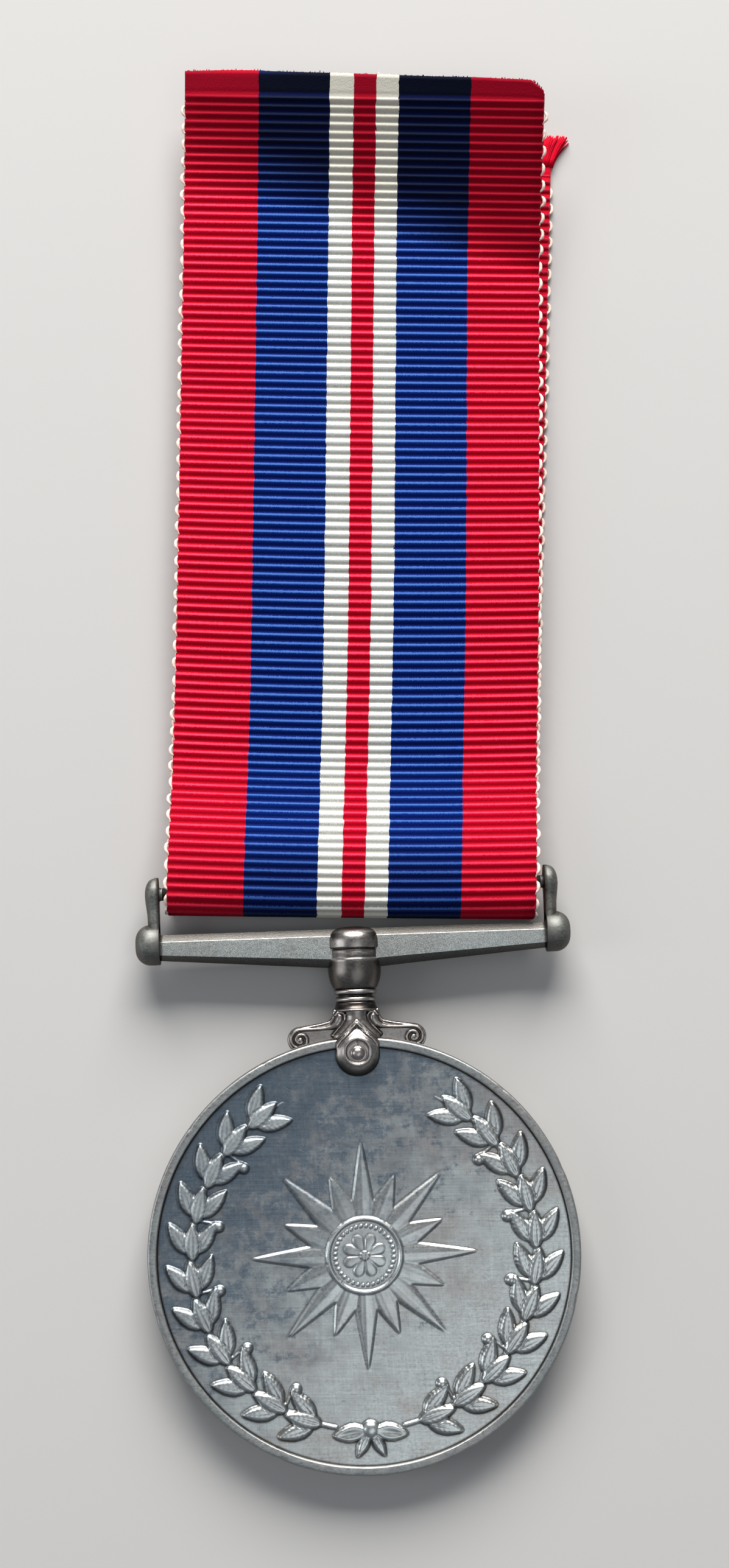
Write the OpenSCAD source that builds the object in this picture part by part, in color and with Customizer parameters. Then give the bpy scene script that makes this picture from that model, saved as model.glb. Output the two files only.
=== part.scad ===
// Round campaign medal lying face up, with a claw suspender and a ribbon folded round its rod.
// Millimetres. +Y runs from the disc to the ribbon's free ends, +Z is up from the surface below.
// The metal is drawn flat in its own frame: disc centre at 0, the suspender along +Y, the middle
// of the metal at Z = 0. The module laid() then sets it down on the surface.

/* [Disc] */
// Diameter of the disc
disc_d = 36; // [34:0.5:38]
// Thickness of the disc over its two rims
disc_t = 3; // [2.6:0.1:3.4]
// Width of the raised rim
rim_w = 0.8; // [0.6:0.1:1.1]
// Bevel along the rim's edges
rim_bevel = 0.15; // [0.1:0.05:0.25]
// Depth of the field below the rim, front and back
field_depth = 0.4; // [0.3:0.05:0.5]

/* [Design on the front] */
// Height of the design over the field
relief_h = 0.45; // [0.3:0.05:0.6]
// Space between the wreath and the rim
wreath_margin = 0.9; // [0.7:0.1:1.4]
// Leaf groups on each branch
leaf_groups = 11; // [8:1:11]
// Length of a leaf
leaf_l = 2.6; // [2.2:0.1:2.7]
// Width of a leaf
leaf_w = 1.1; // [0.9:0.05:1.15]
// Lean of the side leaves from the branch, in degrees
leaf_lean = 32; // [28:1:36]
// Radius of a berry
berry_r = 0.35; // [0.25:0.05:0.4]
// Radius of the star's long points
star_r = 10; // [8:0.1:10.6]
// Radius of the roundel in the middle of the star
roundel_r = 3.2; // [2.4:0.1:3.4]

/* [Claw and pin] */
// How far each claw stands over the rim
claw_proud = 0.8; // [0.7:0.05:1]
// Radius of the claw's round lobe
lobe_r = 1.85; // [1.7:0.05:2.1]
// How far the lobe reaches in from the disc's edge
lobe_reach = 3.25; // [2.9:0.05:3.6]
// Distance of the pin from the disc's edge
pin_inset = 1.28; // [1.1:0.02:1.5]
// Diameter of the pin's shank
pin_d = 0.9; // [0.7:0.05:1]
// Diameter of the pin's domed heads
pin_head_d = 1.2; // [1.1:0.05:1.3]
// Height of the pin's domed heads
pin_head_h = 0.25; // [0.2:0.05:0.35]
// Gap between pieces that fit together
fit_gap = 0.06; // [0.04:0.01:0.1]

/* [Scroll arms] */
// Distance of a volute's middle from the centre line
volute_x = 4.72; // [4.4:0.02:5]
// Height of a volute's middle over the disc's edge below it
volute_rise = 0.65; // [0.5:0.05:0.8]
// Radius of a volute
volute_r = 1.08; // [0.9:0.02:1.2]
// Thickness of the scroll arms
arm_t = 1.9; // [1.6:0.1:2.2]
// Radius of the sweep from the neck out to the arm
sweep_r = 2.2; // [1.9:0.05:2.4]
// Width of the leaf that runs along that sweep
sweep_leaf = 1; // [0.8:0.05:1.1]
// Height of the raised lines on the scrolls and claws
line_h = 0.14; // [0.1:0.02:0.2]
// Width of those raised lines
line_w = 0.2; // [0.15:0.01:0.25]

/* [Turned stem] */
// Height of the crown, from the disc's edge to the neck
crown_h = 2.1; // [1.9:0.05:2.4]
// Height of the neck
neck_h = 0.85; // [0.7:0.05:1]
// Diameter of the neck
neck_d = 3.3; // [3.1:0.05:3.4]
// Height of each of the two rings
ring_h = 0.48; // [0.4:0.02:0.6]
// Space between the two rings
ring_gap = 0.2; // [0.1:0.05:0.3]
// Diameter of the upper ring
ring_d = 3.6; // [3.5:0.05:3.8]
// Height of the bulb
bulb_h = 2.6; // [2.4:0.05:2.8]
// Largest diameter of the bulb
bulb_d = 4.46; // [4.3:0.02:4.6]
// Height of the plain band
band_h = 0.75; // [0.6:0.05:0.9]
// Diameter of the plain band
band_d = 4.14; // [4:0.02:4.2]
// Height of the cap
cap_h = 1.85; // [1.7:0.05:2]
// Diameter of the cap
cap_d = 4.48; // [4.36:0.02:4.6]

/* [Ribbon bar] */
// How far the end knobs reach past the disc's edge
knob_past = 0.3; // [0:0.05:0.6]
// Depth of the bar, front to back
bar_depth = 1.9; // [1.8:0.1:2.2]
// Distance of the bar's axis below the top of the cap
bar_drop = 1; // [0.9:0.05:1.1]
// Top edge of the bar above its axis
bar_top = 0.8; // [0.7:0.05:0.9]
// Bottom edge of the bar below its axis, at the ends
bar_low_end = 1.35; // [1.2:0.05:1.5]
// Bottom edge of the bar below its axis, in the middle
bar_low_mid = 2.6; // [2.2:0.05:2.8]
// Width of the bar's bevels
bar_bevel = 0.55; // [0.45:0.05:0.65]
// Diameter of the end knobs
knob_d = 3.4; // [3.2:0.05:3.6]
// Depth of the end knobs
knob_l = 2.05; // [1.9:0.05:2.2]
// Thickness of the end posts
post_t = 1.2; // [1.1:0.05:1.3]
// Diameter of the end posts' round heads
post_d = 2.8; // [2.6:0.05:3]
// Diameter of the rod
rod_d = 1.06; // [0.9:0.02:1.1]
// Height of the rod over the bar's axis
rod_rise = 4.24; // [4:0.02:4.6]

/* [Ribbon] */
// Gap between the ribbon's edge and each end post, when it hangs straight
ribbon_play = 0.75; // [0.6:0.05:1]
// Thickness of the ribbon
ribbon_t = 1; // [1:0.05:1.1]
// Length of the front layer above the rod
front_l = 71.1; // [60:0.1:78]
// Length of the back layer above the rod
back_l = 64.4; // [56:0.2:70]
// Lean of the ribbon to +X at the rod, in degrees
ribbon_lean = 2.6; // [1.6:0.1:2.6]
// Drift of the front layer to +X, reached part of the way along
front_drift = 0.35; // [0:0.05:1.2]
// Drift of the back layer to +X at its end
back_drift = 1.5; // [0.5:0.1:2]
// How far the end of the front layer is cut off square, edge to edge
cut_skew = 0.5; // [0:0.1:1]
// Gap between the ribbon and the rod, and between its two layers
cloth_gap = 0.22; // [0.15:0.01:0.25]
// Height of the waves in the front layer
wave_h = 2.6; // [1.2:0.1:2.6]

/* [Hidden] */
$fn = 96;

disc_r = disc_d / 2;
face_z = disc_t / 2;
field_z = face_z - field_depth;
field_r = disc_r - rim_w;
sink = 0.1;

// The circle that the wreath follows, and the angles where a branch starts and ends, from the bottom
wreath_r = field_r - wreath_margin - 0.6 * leaf_w - leaf_l * sin(leaf_lean);
branch_first = 17;
branch_last = 152;

// Heights of the stem's parts along the suspender
neck_y = disc_r + crown_h;
ring_low_y = neck_y + neck_h;
ring_top_y = ring_low_y + ring_h + ring_gap;
bulb_y = ring_top_y + ring_h;
band_y = bulb_y + bulb_h;
cap_y = band_y + band_h;
bar_y = cap_y + cap_h - bar_drop;
rod_y = bar_y + rod_rise;
pin_y = disc_r - pin_inset;
lobe_y = disc_r - lobe_reach + lobe_r;
claw_z = face_z + claw_proud;

// The bar is made to the disc: the ribbon fills the clear width between its two end posts
bar_half = disc_r + knob_past;
post_x = bar_half - knob_l;
ribbon_w = 2 * (post_x - ribbon_play);
volute_y = sqrt(pow(disc_r, 2) - pow(volute_x, 2)) + volute_rise;

// The claws are domed about one middle, a pointed hood frames each lobe, and the pin's heads
// sit in shallow seats
claw_dome_r = 6;
claw_dome_y = lobe_y + lobe_r / 3;
hood_rise = 1.28;
pin_seat = 0.15;
seat_ring = 0.3;
pin_head_z = claw_z - pin_seat + fit_gap;

// The metal rests on the disc's far rim and on the pin's back head
rim_rest = disc_r - rim_bevel;
pin_rest = pin_head_z + pin_head_h;
rest_tilt = atan((pin_rest - face_z) / (pin_y + rim_rest));
rest_z = rim_rest * sin(rest_tilt) + face_z * cos(rest_tilt);

// Height of the rod's axis over the surface, and the ribbon's loop round it
rod_z = rest_z + rod_y * sin(rest_tilt);
back_z = ribbon_t / 2;
over_z = rod_z + rod_d / 2 + cloth_gap + ribbon_t / 2;
loop_r = (over_z - back_z) / 2;
loop_z = (over_z + back_z) / 2;
// Lowest point of the loop, kept clear of the bar on the side where the ribbon leans to it
loop_low = rod_y - (bar_y + bar_top) - cloth_gap - ribbon_w / 2 * sin(ribbon_lean);
loop_t = loop_r + ribbon_t / 2 - loop_low;
low_z = ribbon_t * 1.5 + cloth_gap;

// Overall size, which puts the middle of the object over the origin
top_y = rod_y + front_l * cos(ribbon_lean) + ribbon_w / 2 * sin(ribbon_lean);
side_x = ribbon_w / 2 * cos(ribbon_lean)
    + max(front_l * sin(ribbon_lean) + front_drift, back_l * sin(ribbon_lean) + back_drift);
place = [(bar_half - side_x) / 2, (disc_r - top_y) / 2, 0];

module laid() {
    translate(place + [0, 0, rest_z]) rotate([rest_tilt, 0, 0]) children();
}

// Turns a shape drawn about +Z so that it stands along +Y, at height y
module along_y(y) {
    translate([0, y, 0]) rotate([-90, 0, 0]) children();
}

// Runs a shape drawn along +Z out along +X, at distance x
module along_x(x) {
    translate([x, 0, 0]) rotate([0, 90, 0]) children();
}

// The solid disc with its rims, bevels and fields, grown all round by a gap
module disc_blank(gap) {
    difference() {
        rotate_extrude() polygon([
            [0, -face_z - gap],
            [disc_r - rim_bevel, -face_z - gap],
            [disc_r + gap, -face_z + rim_bevel],
            [disc_r + gap, face_z - rim_bevel],
            [disc_r - rim_bevel, face_z + gap],
            [0, face_z + gap]
        ]);
        for (side = [-1, 1])
            translate([0, 0, side * (field_z + gap + face_z)])
                cylinder(r = field_r - gap, h = 2 * face_z, center = true);
    }
}

// A leaf from the origin along +Y: a low pyramid whose ridge is the midrib
module leaf(l, w, h) {
    widest = 0.42 * l;
    outline = [[0, 0], [w / 2, widest], [0, l], [-w / 2, widest]];
    polyhedron(
        points = concat(
            [for (p = outline) [p.x, p.y, -sink]],
            [for (p = outline) [p.x, p.y, 0]],
            [[0, widest, h]]
        ),
        faces = concat(
            [[0, 1, 2, 3]],
            [for (i = [0:3]) [i, i + 4, (i + 1) % 4 + 4, (i + 1) % 4]],
            [for (i = [0:3]) [i + 4, 8, (i + 1) % 4 + 4]]
        )
    );
}

// A star of long and short points, ridged from its middle to each of them
module star(points, radii, h) {
    n = points * len(radii);
    rim = [for (i = [0:n - 1]) let (a = i * 360 / n, r = radii[i % len(radii)]) [-r * sin(a), r * cos(a)]];
    polyhedron(
        points = concat([for (p = rim) [p.x, p.y, -sink]], [for (p = rim) [p.x, p.y, 0]], [[0, 0, h]]),
        faces = concat(
            [[for (i = [0:n - 1]) i]],
            [for (i = [0:n - 1]) [i, i + n, (i + 1) % n + n, (i + 1) % n]],
            [for (i = [0:n - 1]) [i + n, 2 * n, (i + 1) % n + n]]
        )
    );
}

// A low dome, cut from a ball that rises h over the field
module berry(r, h) {
    ball_r = (r * r + h * h) / (2 * h);
    intersection() {
        translate([0, 0, h - ball_r]) sphere(r = ball_r);
        translate([0, 0, -sink]) cylinder(r = r, h = h + 2 * sink);
    }
}

// One branch of the wreath, from the bow at the bottom up the +X side: groups of three leaves
// that don't touch, with a berry inside every second group
module branch() {
    step = (branch_last - branch_first) / leaf_groups;
    for (i = [0:leaf_groups - 1]) rotate(branch_first + i * step - 180) translate([0, wreath_r, 0]) {
        rotate(90) {
            leaf(leaf_l, leaf_w, relief_h);
            for (side = [-1, 1])
                translate([side * 0.6 * leaf_w, 0.35 * leaf_l, 0])
                    rotate(-side * leaf_lean) leaf(0.95 * leaf_l, 0.95 * leaf_w, 0.85 * relief_h);
        }
        if (i % 2 == 1) translate([0, -1.75 * leaf_w, 0]) berry(berry_r, 0.7 * relief_h);
    }
}

// The bow that ties the two branches: a knot, two loops and two tails
module bow() {
    knot_r = 0.7 * leaf_w;
    translate([0, -wreath_r, 0]) {
        berry(knot_r, relief_h);
        for (side = [-1, 1]) {
            rotate(side * 98) translate([0, knot_r + sink, 0]) leaf(0.8 * leaf_l, leaf_w, 0.9 * relief_h);
            rotate(side * 152) translate([0, knot_r + sink, 0]) leaf(0.6 * leaf_l, 0.8 * leaf_w, 0.6 * relief_h);
        }
    }
}

module design() {
    branch();
    mirror([1, 0, 0]) branch();
    bow();
    star(8, [star_r, 0.46 * star_r, 0.74 * star_r, 0.46 * star_r], 0.85 * relief_h);
    berry(roundel_r, relief_h);
}

module medal_disc() {
    color("lightslategray") laid() difference() {
        union() {
            disc_blank(0);
            translate([0, 0, field_z]) design();
        }
        translate([0, pin_y, 0]) cylinder(d = pin_d + 2 * fit_gap, h = 2 * disc_t, center = true);
    }
}

// A ring with a round outer edge, h high, standing on z = 0
module ring(d, h) {
    rotate_extrude() {
        square([(d - h) / 2, h]);
        translate([(d - h) / 2, h / 2]) circle(d = h, $fn = 32);
    }
}

// The egg-shaped bulb: widest two thirds of the way up
module bulb(steps = 12) {
    widest = 0.65;
    spread = 1.05;
    side = [for (i = [0:steps]) let (t = i / steps)
        [bulb_d / 2 * sqrt(1 - pow((t - widest) / spread, 2)), t * bulb_h]];
    rotate_extrude() polygon(concat([[0, 0]], side, [[0, bulb_h]]));
}

// The cap: a drum with a lip below and a rounded top, as shares of its radius and height
module cap() {
    // share of radius, share of height
    profile = [
        [0.94, 0.00],
        [1.00, 0.14],
        [1.00, 0.42],
        [0.96, 0.72],
        [0.86, 0.92],
        [0.72, 1.00]
    ];
    rotate_extrude() polygon(concat(
        [[0, 0]],
        [for (p = profile) [p[0] * cap_d / 2, p[1] * cap_h]],
        [[0, cap_h]]
    ));
}

module stem() {
    neck_flare = 0.3;
    ring_step = 0.2;
    core_d = ring_d - ring_h - ring_step;
    along_y(neck_y - neck_flare)
        cylinder(d1 = neck_d + neck_flare, d2 = neck_d - neck_flare, h = neck_h + neck_flare + sink);
    along_y(ring_low_y) ring(ring_d - ring_step, ring_h);
    along_y(ring_low_y) cylinder(d = core_d, h = bulb_y - ring_low_y + sink);
    along_y(ring_top_y) ring(ring_d, ring_h);
    along_y(bulb_y) bulb();
    along_y(bulb_y) cylinder(d = core_d, h = bulb_h + sink);
    along_y(band_y) cylinder(d = band_d, h = band_h);
    along_y(cap_y) cap();
}

// The scroll arm's outline on the +X side, which sits on the disc's edge, drawn in by an inset
// along its free edge
module arm_outline(inset) {
    arm_top = volute_y + volute_r - inset;
    difference() {
        union() {
            translate([0, pin_y]) square([volute_x, neck_y - pin_y]);
            translate([volute_x, volute_y]) circle(r = volute_r - inset);
        }
        translate([neck_d / 2 + sweep_r, volute_y + volute_r + sweep_r]) circle(r = sweep_r + inset);
        translate([neck_d / 2 + sweep_r, arm_top]) square([volute_x, 2 * sweep_r]);
        circle(r = disc_r + fit_gap);
    }
}

// The raised line that winds into a volute, as a band between two spirals
module volute_spiral(turns = 1.25, steps = 30) {
    start_r = volute_r - line_w / 2;
    end_r = 0.25 * volute_r;
    function spiral(share, out) = let (
        r = start_r + (end_r - start_r) * share + out,
        a = 90 - 360 * turns * share
    ) [r * cos(a), r * sin(a)];
    translate([volute_x, volute_y]) polygon(concat(
        [for (i = [0:steps]) spiral(i / steps, line_w / 2)],
        [for (i = [steps:-1:0]) spiral(i / steps, -line_w / 2)]
    ));
}

// The inner edge of the leaf that runs along the sweep
module leaf_line() {
    intersection() {
        translate([neck_d / 2 + sweep_r, volute_y + volute_r + sweep_r]) difference() {
            circle(r = sweep_r + sweep_leaf);
            circle(r = sweep_r + sweep_leaf - line_w);
        }
        translate([0, disc_r + fit_gap]) square([neck_d / 2 + sweep_r, neck_y - disc_r]);
    }
}

module scroll_arm() {
    linear_extrude(arm_t, center = true) arm_outline(0);
    linear_extrude(arm_t + 2 * line_h, center = true) {
        difference() {
            arm_outline(0);
            arm_outline(line_w);
        }
        leaf_line();
        difference() {
            volute_spiral();
            circle(r = disc_r + fit_gap);
        }
    }
}

// The claw's outline: a round lobe below, drawn in to the neck above
module claw_outline() {
    translate([0, lobe_y]) circle(r = lobe_r);
    polygon([
        [lobe_r, lobe_y],
        [0.95 * lobe_r, lobe_y + lobe_r / 3],
        [0.62 * lobe_r, disc_r + crown_h / 4],
        [neck_d / 4, disc_r + 0.6 * crown_h],
        [neck_d / 4, neck_y],
        [-neck_d / 4, neck_y],
        [-neck_d / 4, disc_r + 0.6 * crown_h],
        [-0.62 * lobe_r, disc_r + crown_h / 4],
        [-0.95 * lobe_r, lobe_y + lobe_r / 3],
        [-lobe_r, lobe_y]
    ]);
}

// The hood over the lobe: a raised band round its upper half, which rises to a point in the middle
module hood_outline(steps = 12) {
    first_a = 12;
    band_w = 1.5 * line_w;
    function edge(share, r) = let (
        a = first_a + (180 - 2 * first_a) * share,
        peak = pow(max(0, 1 - abs(a - 90) / 50), 1.5),
        reach = r + (hood_rise - 1) * lobe_r * peak
    ) [reach * cos(a), lobe_y + reach * sin(a)];
    polygon(concat(
        [for (i = [0:2 * steps]) edge(i / (2 * steps), lobe_r - sink / 4)],
        [for (i = [2 * steps:-1:0]) edge(i / (2 * steps), lobe_r - band_w)]
    ));
}

// Cuts what it is given to the claws' domed faces, which rise to z on the middle line
module domed(z) {
    intersection() {
        linear_extrude(4 * claw_z, center = true) children();
        translate([0, claw_dome_y, z - claw_dome_r]) sphere(r = claw_dome_r);
        translate([0, claw_dome_y, claw_dome_r - z]) sphere(r = claw_dome_r);
    }
}

module claws() {
    domed(claw_z) claw_outline();
    domed(claw_z + line_h) hood_outline();
    for (side = [-1, 1])
        translate([0, pin_y, side * (claw_z - line_h)]) rotate_extrude()
            translate([pin_head_d / 2 + seat_ring, 0]) circle(d = 2 * line_w, $fn = 24);
}

// Skin between sections of n corners each, closed at both ends
function skin_faces(n, sections) = concat(
    [[for (i = [n - 1:-1:0]) i]],
    [for (s = [0:sections - 2], i = [0:n - 1])
        [s * n + i, s * n + (i + 1) % n, (s + 1) * n + (i + 1) % n, (s + 1) * n + i]],
    [[for (i = [0:n - 1]) (sections - 1) * n + i]]
);

// A square bar with its corner up, which cuts a bevel along X
module bevel_cutter(l) {
    rotate([45, 0, 0]) cube([l, sqrt(2) * bar_bevel, sqrt(2) * bar_bevel], center = true);
}

// The bar: its top edge is straight, and its bottom edge is deepest in the middle
module bar() {
    end_x = post_x + sink;
    slope = atan((bar_low_mid - bar_low_end) / end_x);
    translate([0, bar_y, 0]) difference() {
        linear_extrude(bar_depth, center = true) polygon([
            [-end_x, bar_top],
            [end_x, bar_top],
            [end_x, -bar_low_end],
            [0, -bar_low_mid],
            [-end_x, -bar_low_end]
        ]);
        for (face = [-1, 1]) translate([0, 0, face * bar_depth / 2]) {
            translate([0, bar_top, 0]) bevel_cutter(2 * end_x + 1);
            for (side = [-1, 1])
                translate([side * end_x / 2, -(bar_low_end + bar_low_mid) / 2, 0])
                    rotate(side * slope) bevel_cutter(end_x + 1);
        }
    }
}

// A round button on z = 0, with its upper edge rounded
module button(r, h, round_r, steps = 8) {
    edge = [for (i = [0:steps]) let (a = 90 * i / steps)
        [r - round_r + round_r * cos(a), h - round_r + round_r * sin(a)]];
    rotate_extrude() polygon(concat([[0, 0], [r, 0]], edge, [[0, h]]));
}

// One end of the bar on the +X side: the knob, and the post whose round head holds the rod. The
// post is rounded on its outer side, from edge to edge.
module bar_end(steps = 8) {
    web_w = 0.8 * post_d;
    web_t = 0.9 * post_t;
    round_share = 0.6;
    knob_round = 0.74 * knob_d / 2;
    section = [for (i = [0:steps]) let (a = 180 * i / steps)
        [web_t * (1 - round_share + round_share * sin(a)), -web_w / 2 * cos(a)]];
    translate([0, bar_y, 0]) along_x(post_x) button(knob_d / 2, knob_l, knob_round);
    translate([0, rod_y, 0]) along_x(post_x) button(post_d / 2, post_t, round_share * post_t);
    translate([post_x, rod_y, 0]) rotate([90, 0, 0]) linear_extrude(rod_rise)
        polygon(concat([[0, -web_w / 2]], section, [[0, web_w / 2]]));
}

module suspender() {
    color("silver") laid() difference() {
        union() {
            stem();
            claws();
            bar();
            translate([0, rod_y, 0]) along_x(-post_x - sink) cylinder(d = rod_d, h = 2 * (post_x + sink));
            for (side = [0, 1]) mirror([side, 0, 0]) {
                scroll_arm();
                bar_end();
            }
        }
        disc_blank(fit_gap);
        translate([0, pin_y, 0]) cylinder(d = pin_d + 2 * fit_gap, h = 4 * claw_z, center = true);
        for (side = [-1, 1])
            translate([0, pin_y, side * (claw_z - pin_seat + disc_t)])
                cylinder(d = pin_head_d + 2 * fit_gap, h = 2 * disc_t, center = true);
    }
}

// The pin: a shank with a domed head at each end
module claw_pin() {
    r = pin_head_d / 2;
    ball_r = (r * r + pin_head_h * pin_head_h) / (2 * pin_head_h);
    color("gainsboro") laid() translate([0, pin_y, 0]) {
        cylinder(d = pin_d, h = 2 * pin_head_z + sink, center = true);
        for (side = [0, 1]) mirror([0, 0, side]) intersection() {
            translate([0, 0, pin_rest - ball_r]) sphere(r = ball_r);
            translate([0, 0, pin_head_z]) cylinder(r = r, h = disc_t);
        }
    }
}

// Smooth step from 0 to 1
function ease(x) = (1 - cos(180 * min(1, max(0, x)))) / 2;

// Height share along the front layer, from the wave table: smooth steps, and a rise that grows
// steeper in the last one
function wave_at(x, table, i = 0) =
    let (share = (x - table[i][0]) / (table[i + 1][0] - table[i][0]), rise = table[i + 1][1] - table[i][1])
    i >= len(table) - 2 ? table[i][1] + rise * pow(share, 1.5)
    : x <= table[i + 1][0] ? table[i][1] + rise * ease(share)
    : wave_at(x, table, i + 1);

module ribbon() {
    // share of the front layer's length, share of the wave height
    wave = [
        [0.00, 0.00],
        [0.16, 0.00],
        [0.42, 0.21],
        [0.70, 0.08],
        [0.84, 0.12],
        [1.00, 1.00]
    ];
    fall = 11;
    drift_share = 0.4;
    back_steps = 10;
    turn_steps = 12;
    front_steps = 36;
    columns = 4;

    // Each station: distance past the rod, height of the middle, drift to +X
    back = [for (i = [0:back_steps - 1]) let (s = 1 - i / back_steps, t = loop_t + (back_l - loop_t) * s)
        [t, back_z, back_drift * s]];
    turn = [for (i = [0:turn_steps]) let (a = -90 - 180 * i / turn_steps)
        [loop_t + loop_r * cos(a), loop_z + loop_r * sin(a), 0]];
    front = [for (i = [1:front_steps]) let (
            s = pow(i / front_steps, 1.4),
            t = loop_t + (front_l - loop_t) * s,
            z = over_z + (low_z - over_z) * ease((t - loop_t - rod_d) / fall)
        )
        [t, z + wave_h * wave_at(s, wave), front_drift * sin(90 * min(1, s / drift_share))]];
    path = concat(back, turn, front);
    last = len(path) - 1;

    // Offset from the middle of the cloth to its outer face
    function out(i) = let (
        a = path[max(0, i - 1)],
        b = path[min(last, i + 1)],
        d = [b[0] - a[0], b[1] - a[1]] / norm([b[0] - a[0], b[1] - a[1]])
    ) [-d.y, d.x] * ribbon_t / 2;

    // A point of the cloth: station, place across from -1 to 1, face 1 out or -1 in
    function at(i, across, face) = let (
        l = across * ribbon_w / 2 + path[i][2],
        t = path[i][0] + face * out(i).x - (i == last ? across * cut_skew / 2 : 0),
        z = path[i][1] + face * out(i).y
    ) [
        l * cos(ribbon_lean) + t * sin(ribbon_lean),
        rod_y * cos(rest_tilt) + t * cos(ribbon_lean) - l * sin(ribbon_lean),
        z
    ];
    function section(i) = concat(
        [for (j = [0:columns]) at(i, 2 * j / columns - 1, 1)],
        [for (j = [columns:-1:0]) at(i, 2 * j / columns - 1, -1)]
    );
    color("firebrick") translate(place) polyhedron(
        points = [for (i = [0:last]) each section(i)],
        faces = skin_faces(2 * columns + 2, last + 1)
    );
}

medal_disc();
suspender();
claw_pin();
ribbon();
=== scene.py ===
"""The looks of a round campaign medal that lies face up, its ribbon folded round the suspender's rod.

Shapes are worked out in millimetres and set down in the row frame in metres. The metal has a frame
of its own: the disc's middle at 0, the suspender along +Y, the middle of the metal at Z = 0.
"""
import math

import bpy
import numpy as np
from mathutils import Euler, Matrix, Vector


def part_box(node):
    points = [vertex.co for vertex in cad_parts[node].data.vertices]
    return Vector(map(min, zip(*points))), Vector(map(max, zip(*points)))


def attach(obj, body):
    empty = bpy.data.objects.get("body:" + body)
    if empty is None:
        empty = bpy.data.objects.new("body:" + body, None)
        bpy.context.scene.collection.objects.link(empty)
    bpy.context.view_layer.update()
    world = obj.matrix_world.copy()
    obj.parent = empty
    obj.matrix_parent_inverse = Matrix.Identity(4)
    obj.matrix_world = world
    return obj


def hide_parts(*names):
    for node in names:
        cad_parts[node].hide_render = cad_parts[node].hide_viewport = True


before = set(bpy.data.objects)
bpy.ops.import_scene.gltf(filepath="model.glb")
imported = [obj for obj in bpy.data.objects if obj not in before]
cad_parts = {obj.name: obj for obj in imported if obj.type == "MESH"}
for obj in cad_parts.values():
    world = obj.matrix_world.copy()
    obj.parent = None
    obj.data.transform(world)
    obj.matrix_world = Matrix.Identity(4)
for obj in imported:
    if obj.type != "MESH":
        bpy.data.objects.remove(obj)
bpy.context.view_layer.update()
MM = 0.001
rng = np.random.default_rng(36)

# Disc
DISC_R = 18.0
FACE_Z = 1.5
FIELD_Z = 1.1
RIM_W = 0.8
RIM_BEVEL = 0.15
FIELD_R = DISC_R - RIM_W

# Design on the front
RELIEF_H = 0.45
LEAF_L = 2.6
LEAF_W = 1.1
LEAF_LEAN = math.radians(32)
LEAF_GROUPS = 11
BRANCH_FIRST, BRANCH_LAST = 17, 152
WREATH_R = FIELD_R - 0.9 - 0.6 * LEAF_W - LEAF_L * math.sin(LEAF_LEAN)
STAR_R = 10.0
STAR_SHORT, STAR_DIP = 0.74, 0.46
ROUNDEL_R = 3.2
BEADS, PETALS = 36, 8
# the star's field is a grid out to this radius, the wreath's a ring of rows and columns round it
RING_FROM = 11.2
STAR_GRID = 301
WREATH_ROWS, WREATH_COLUMNS = 78, 1260
DISC_SIDES = 540
KNOCKS = 46

# Claw, pin and scroll arms
LOBE_R = 1.87
LOBE_Y = 16.6
PIN_Y = 16.72
PIN_HEAD_R = 0.6
PIN_HEAD_Z = 2.21
PIN_REST = 2.46
VOLUTE = (4.74, 17.95)
VOLUTE_R = 1.08
ARM_Z = 0.9
NECK_Y = 20.42
FIT_GAP = 0.06
# the box and the step of the grid that the casting is worked out on
CLAW_BOX = (-6.1, 6.11), (14.4, 20.65), (-2.62, 2.621)
CLAW_STEP = 0.048

# Turned stem
RING_LOW_Y, RING_TOP_Y, RING_H = 20.95, 21.6, 0.48
RING_LOW_R, RING_TOP_R = 1.7, 1.82
BULB_Y, BULB_H, BULB_R = 22.1, 2.5, 2.23
BAND_Y, BAND_R = 24.68, 2.07
CAP_Y, CAP_H, CAP_R = 25.46, 1.85, 2.24
STEM_SIDES = 112

# Ribbon bar
BAR_Y = 26.31
BAR_HALF_DEPTH = 0.95
BAR_TOP = 0.8
BAR_LOW_END, BAR_LOW_MID = 1.35, 2.6
BEVEL_TOP, BEVEL_LOW_END, BEVEL_LOW_MID = 0.6, 0.46, 0.78
BEVEL_Z = 0.5
POST_X, POST_T = 16.25, 1.2
KNOB_R, KNOB_L = 1.7, 2.05
ROD_Y, ROD_R = 30.55, 0.53

# Ribbon
RIBBON_W = 31.0
SOLID_T = 1.0
CLOTH_T = 0.5
FRONT_L, BACK_L = 71.1, 64.4
LEAN = math.radians(2.6)
FRONT_DRIFT, DRIFT_SHARE, BACK_DRIFT = 0.35, 0.4, 1.5
CLOTH_GAP = 0.22
WAVE_H = 2.6
# share of the front layer's length, share of the wave height
WAVE = [(0.00, 0.00), (0.16, 0.00), (0.42, 0.21), (0.70, 0.08), (0.84, 0.12), (1.00, 0.55)]
FALL = 11.0
CUT_SKEW = 0.5
CURL_FROM, CURL_SKEW = 0.81, 0.11
CURL_LIFT, CURL_BACK = 2.6, 0.39
PLAIN_FRONT, PLAIN_BACK = 1.9, 1.3
RIB_PITCH = 0.74
CREST_AT = 0.72
RIB_H = 0.11
# near the fold the ribs bow, and their ends lie this much further along
RIB_BOW = 0.3
STRIPES = (6.4, 6.15, 2.0, 1.95, 2.0, 6.15, 6.35)
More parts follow.
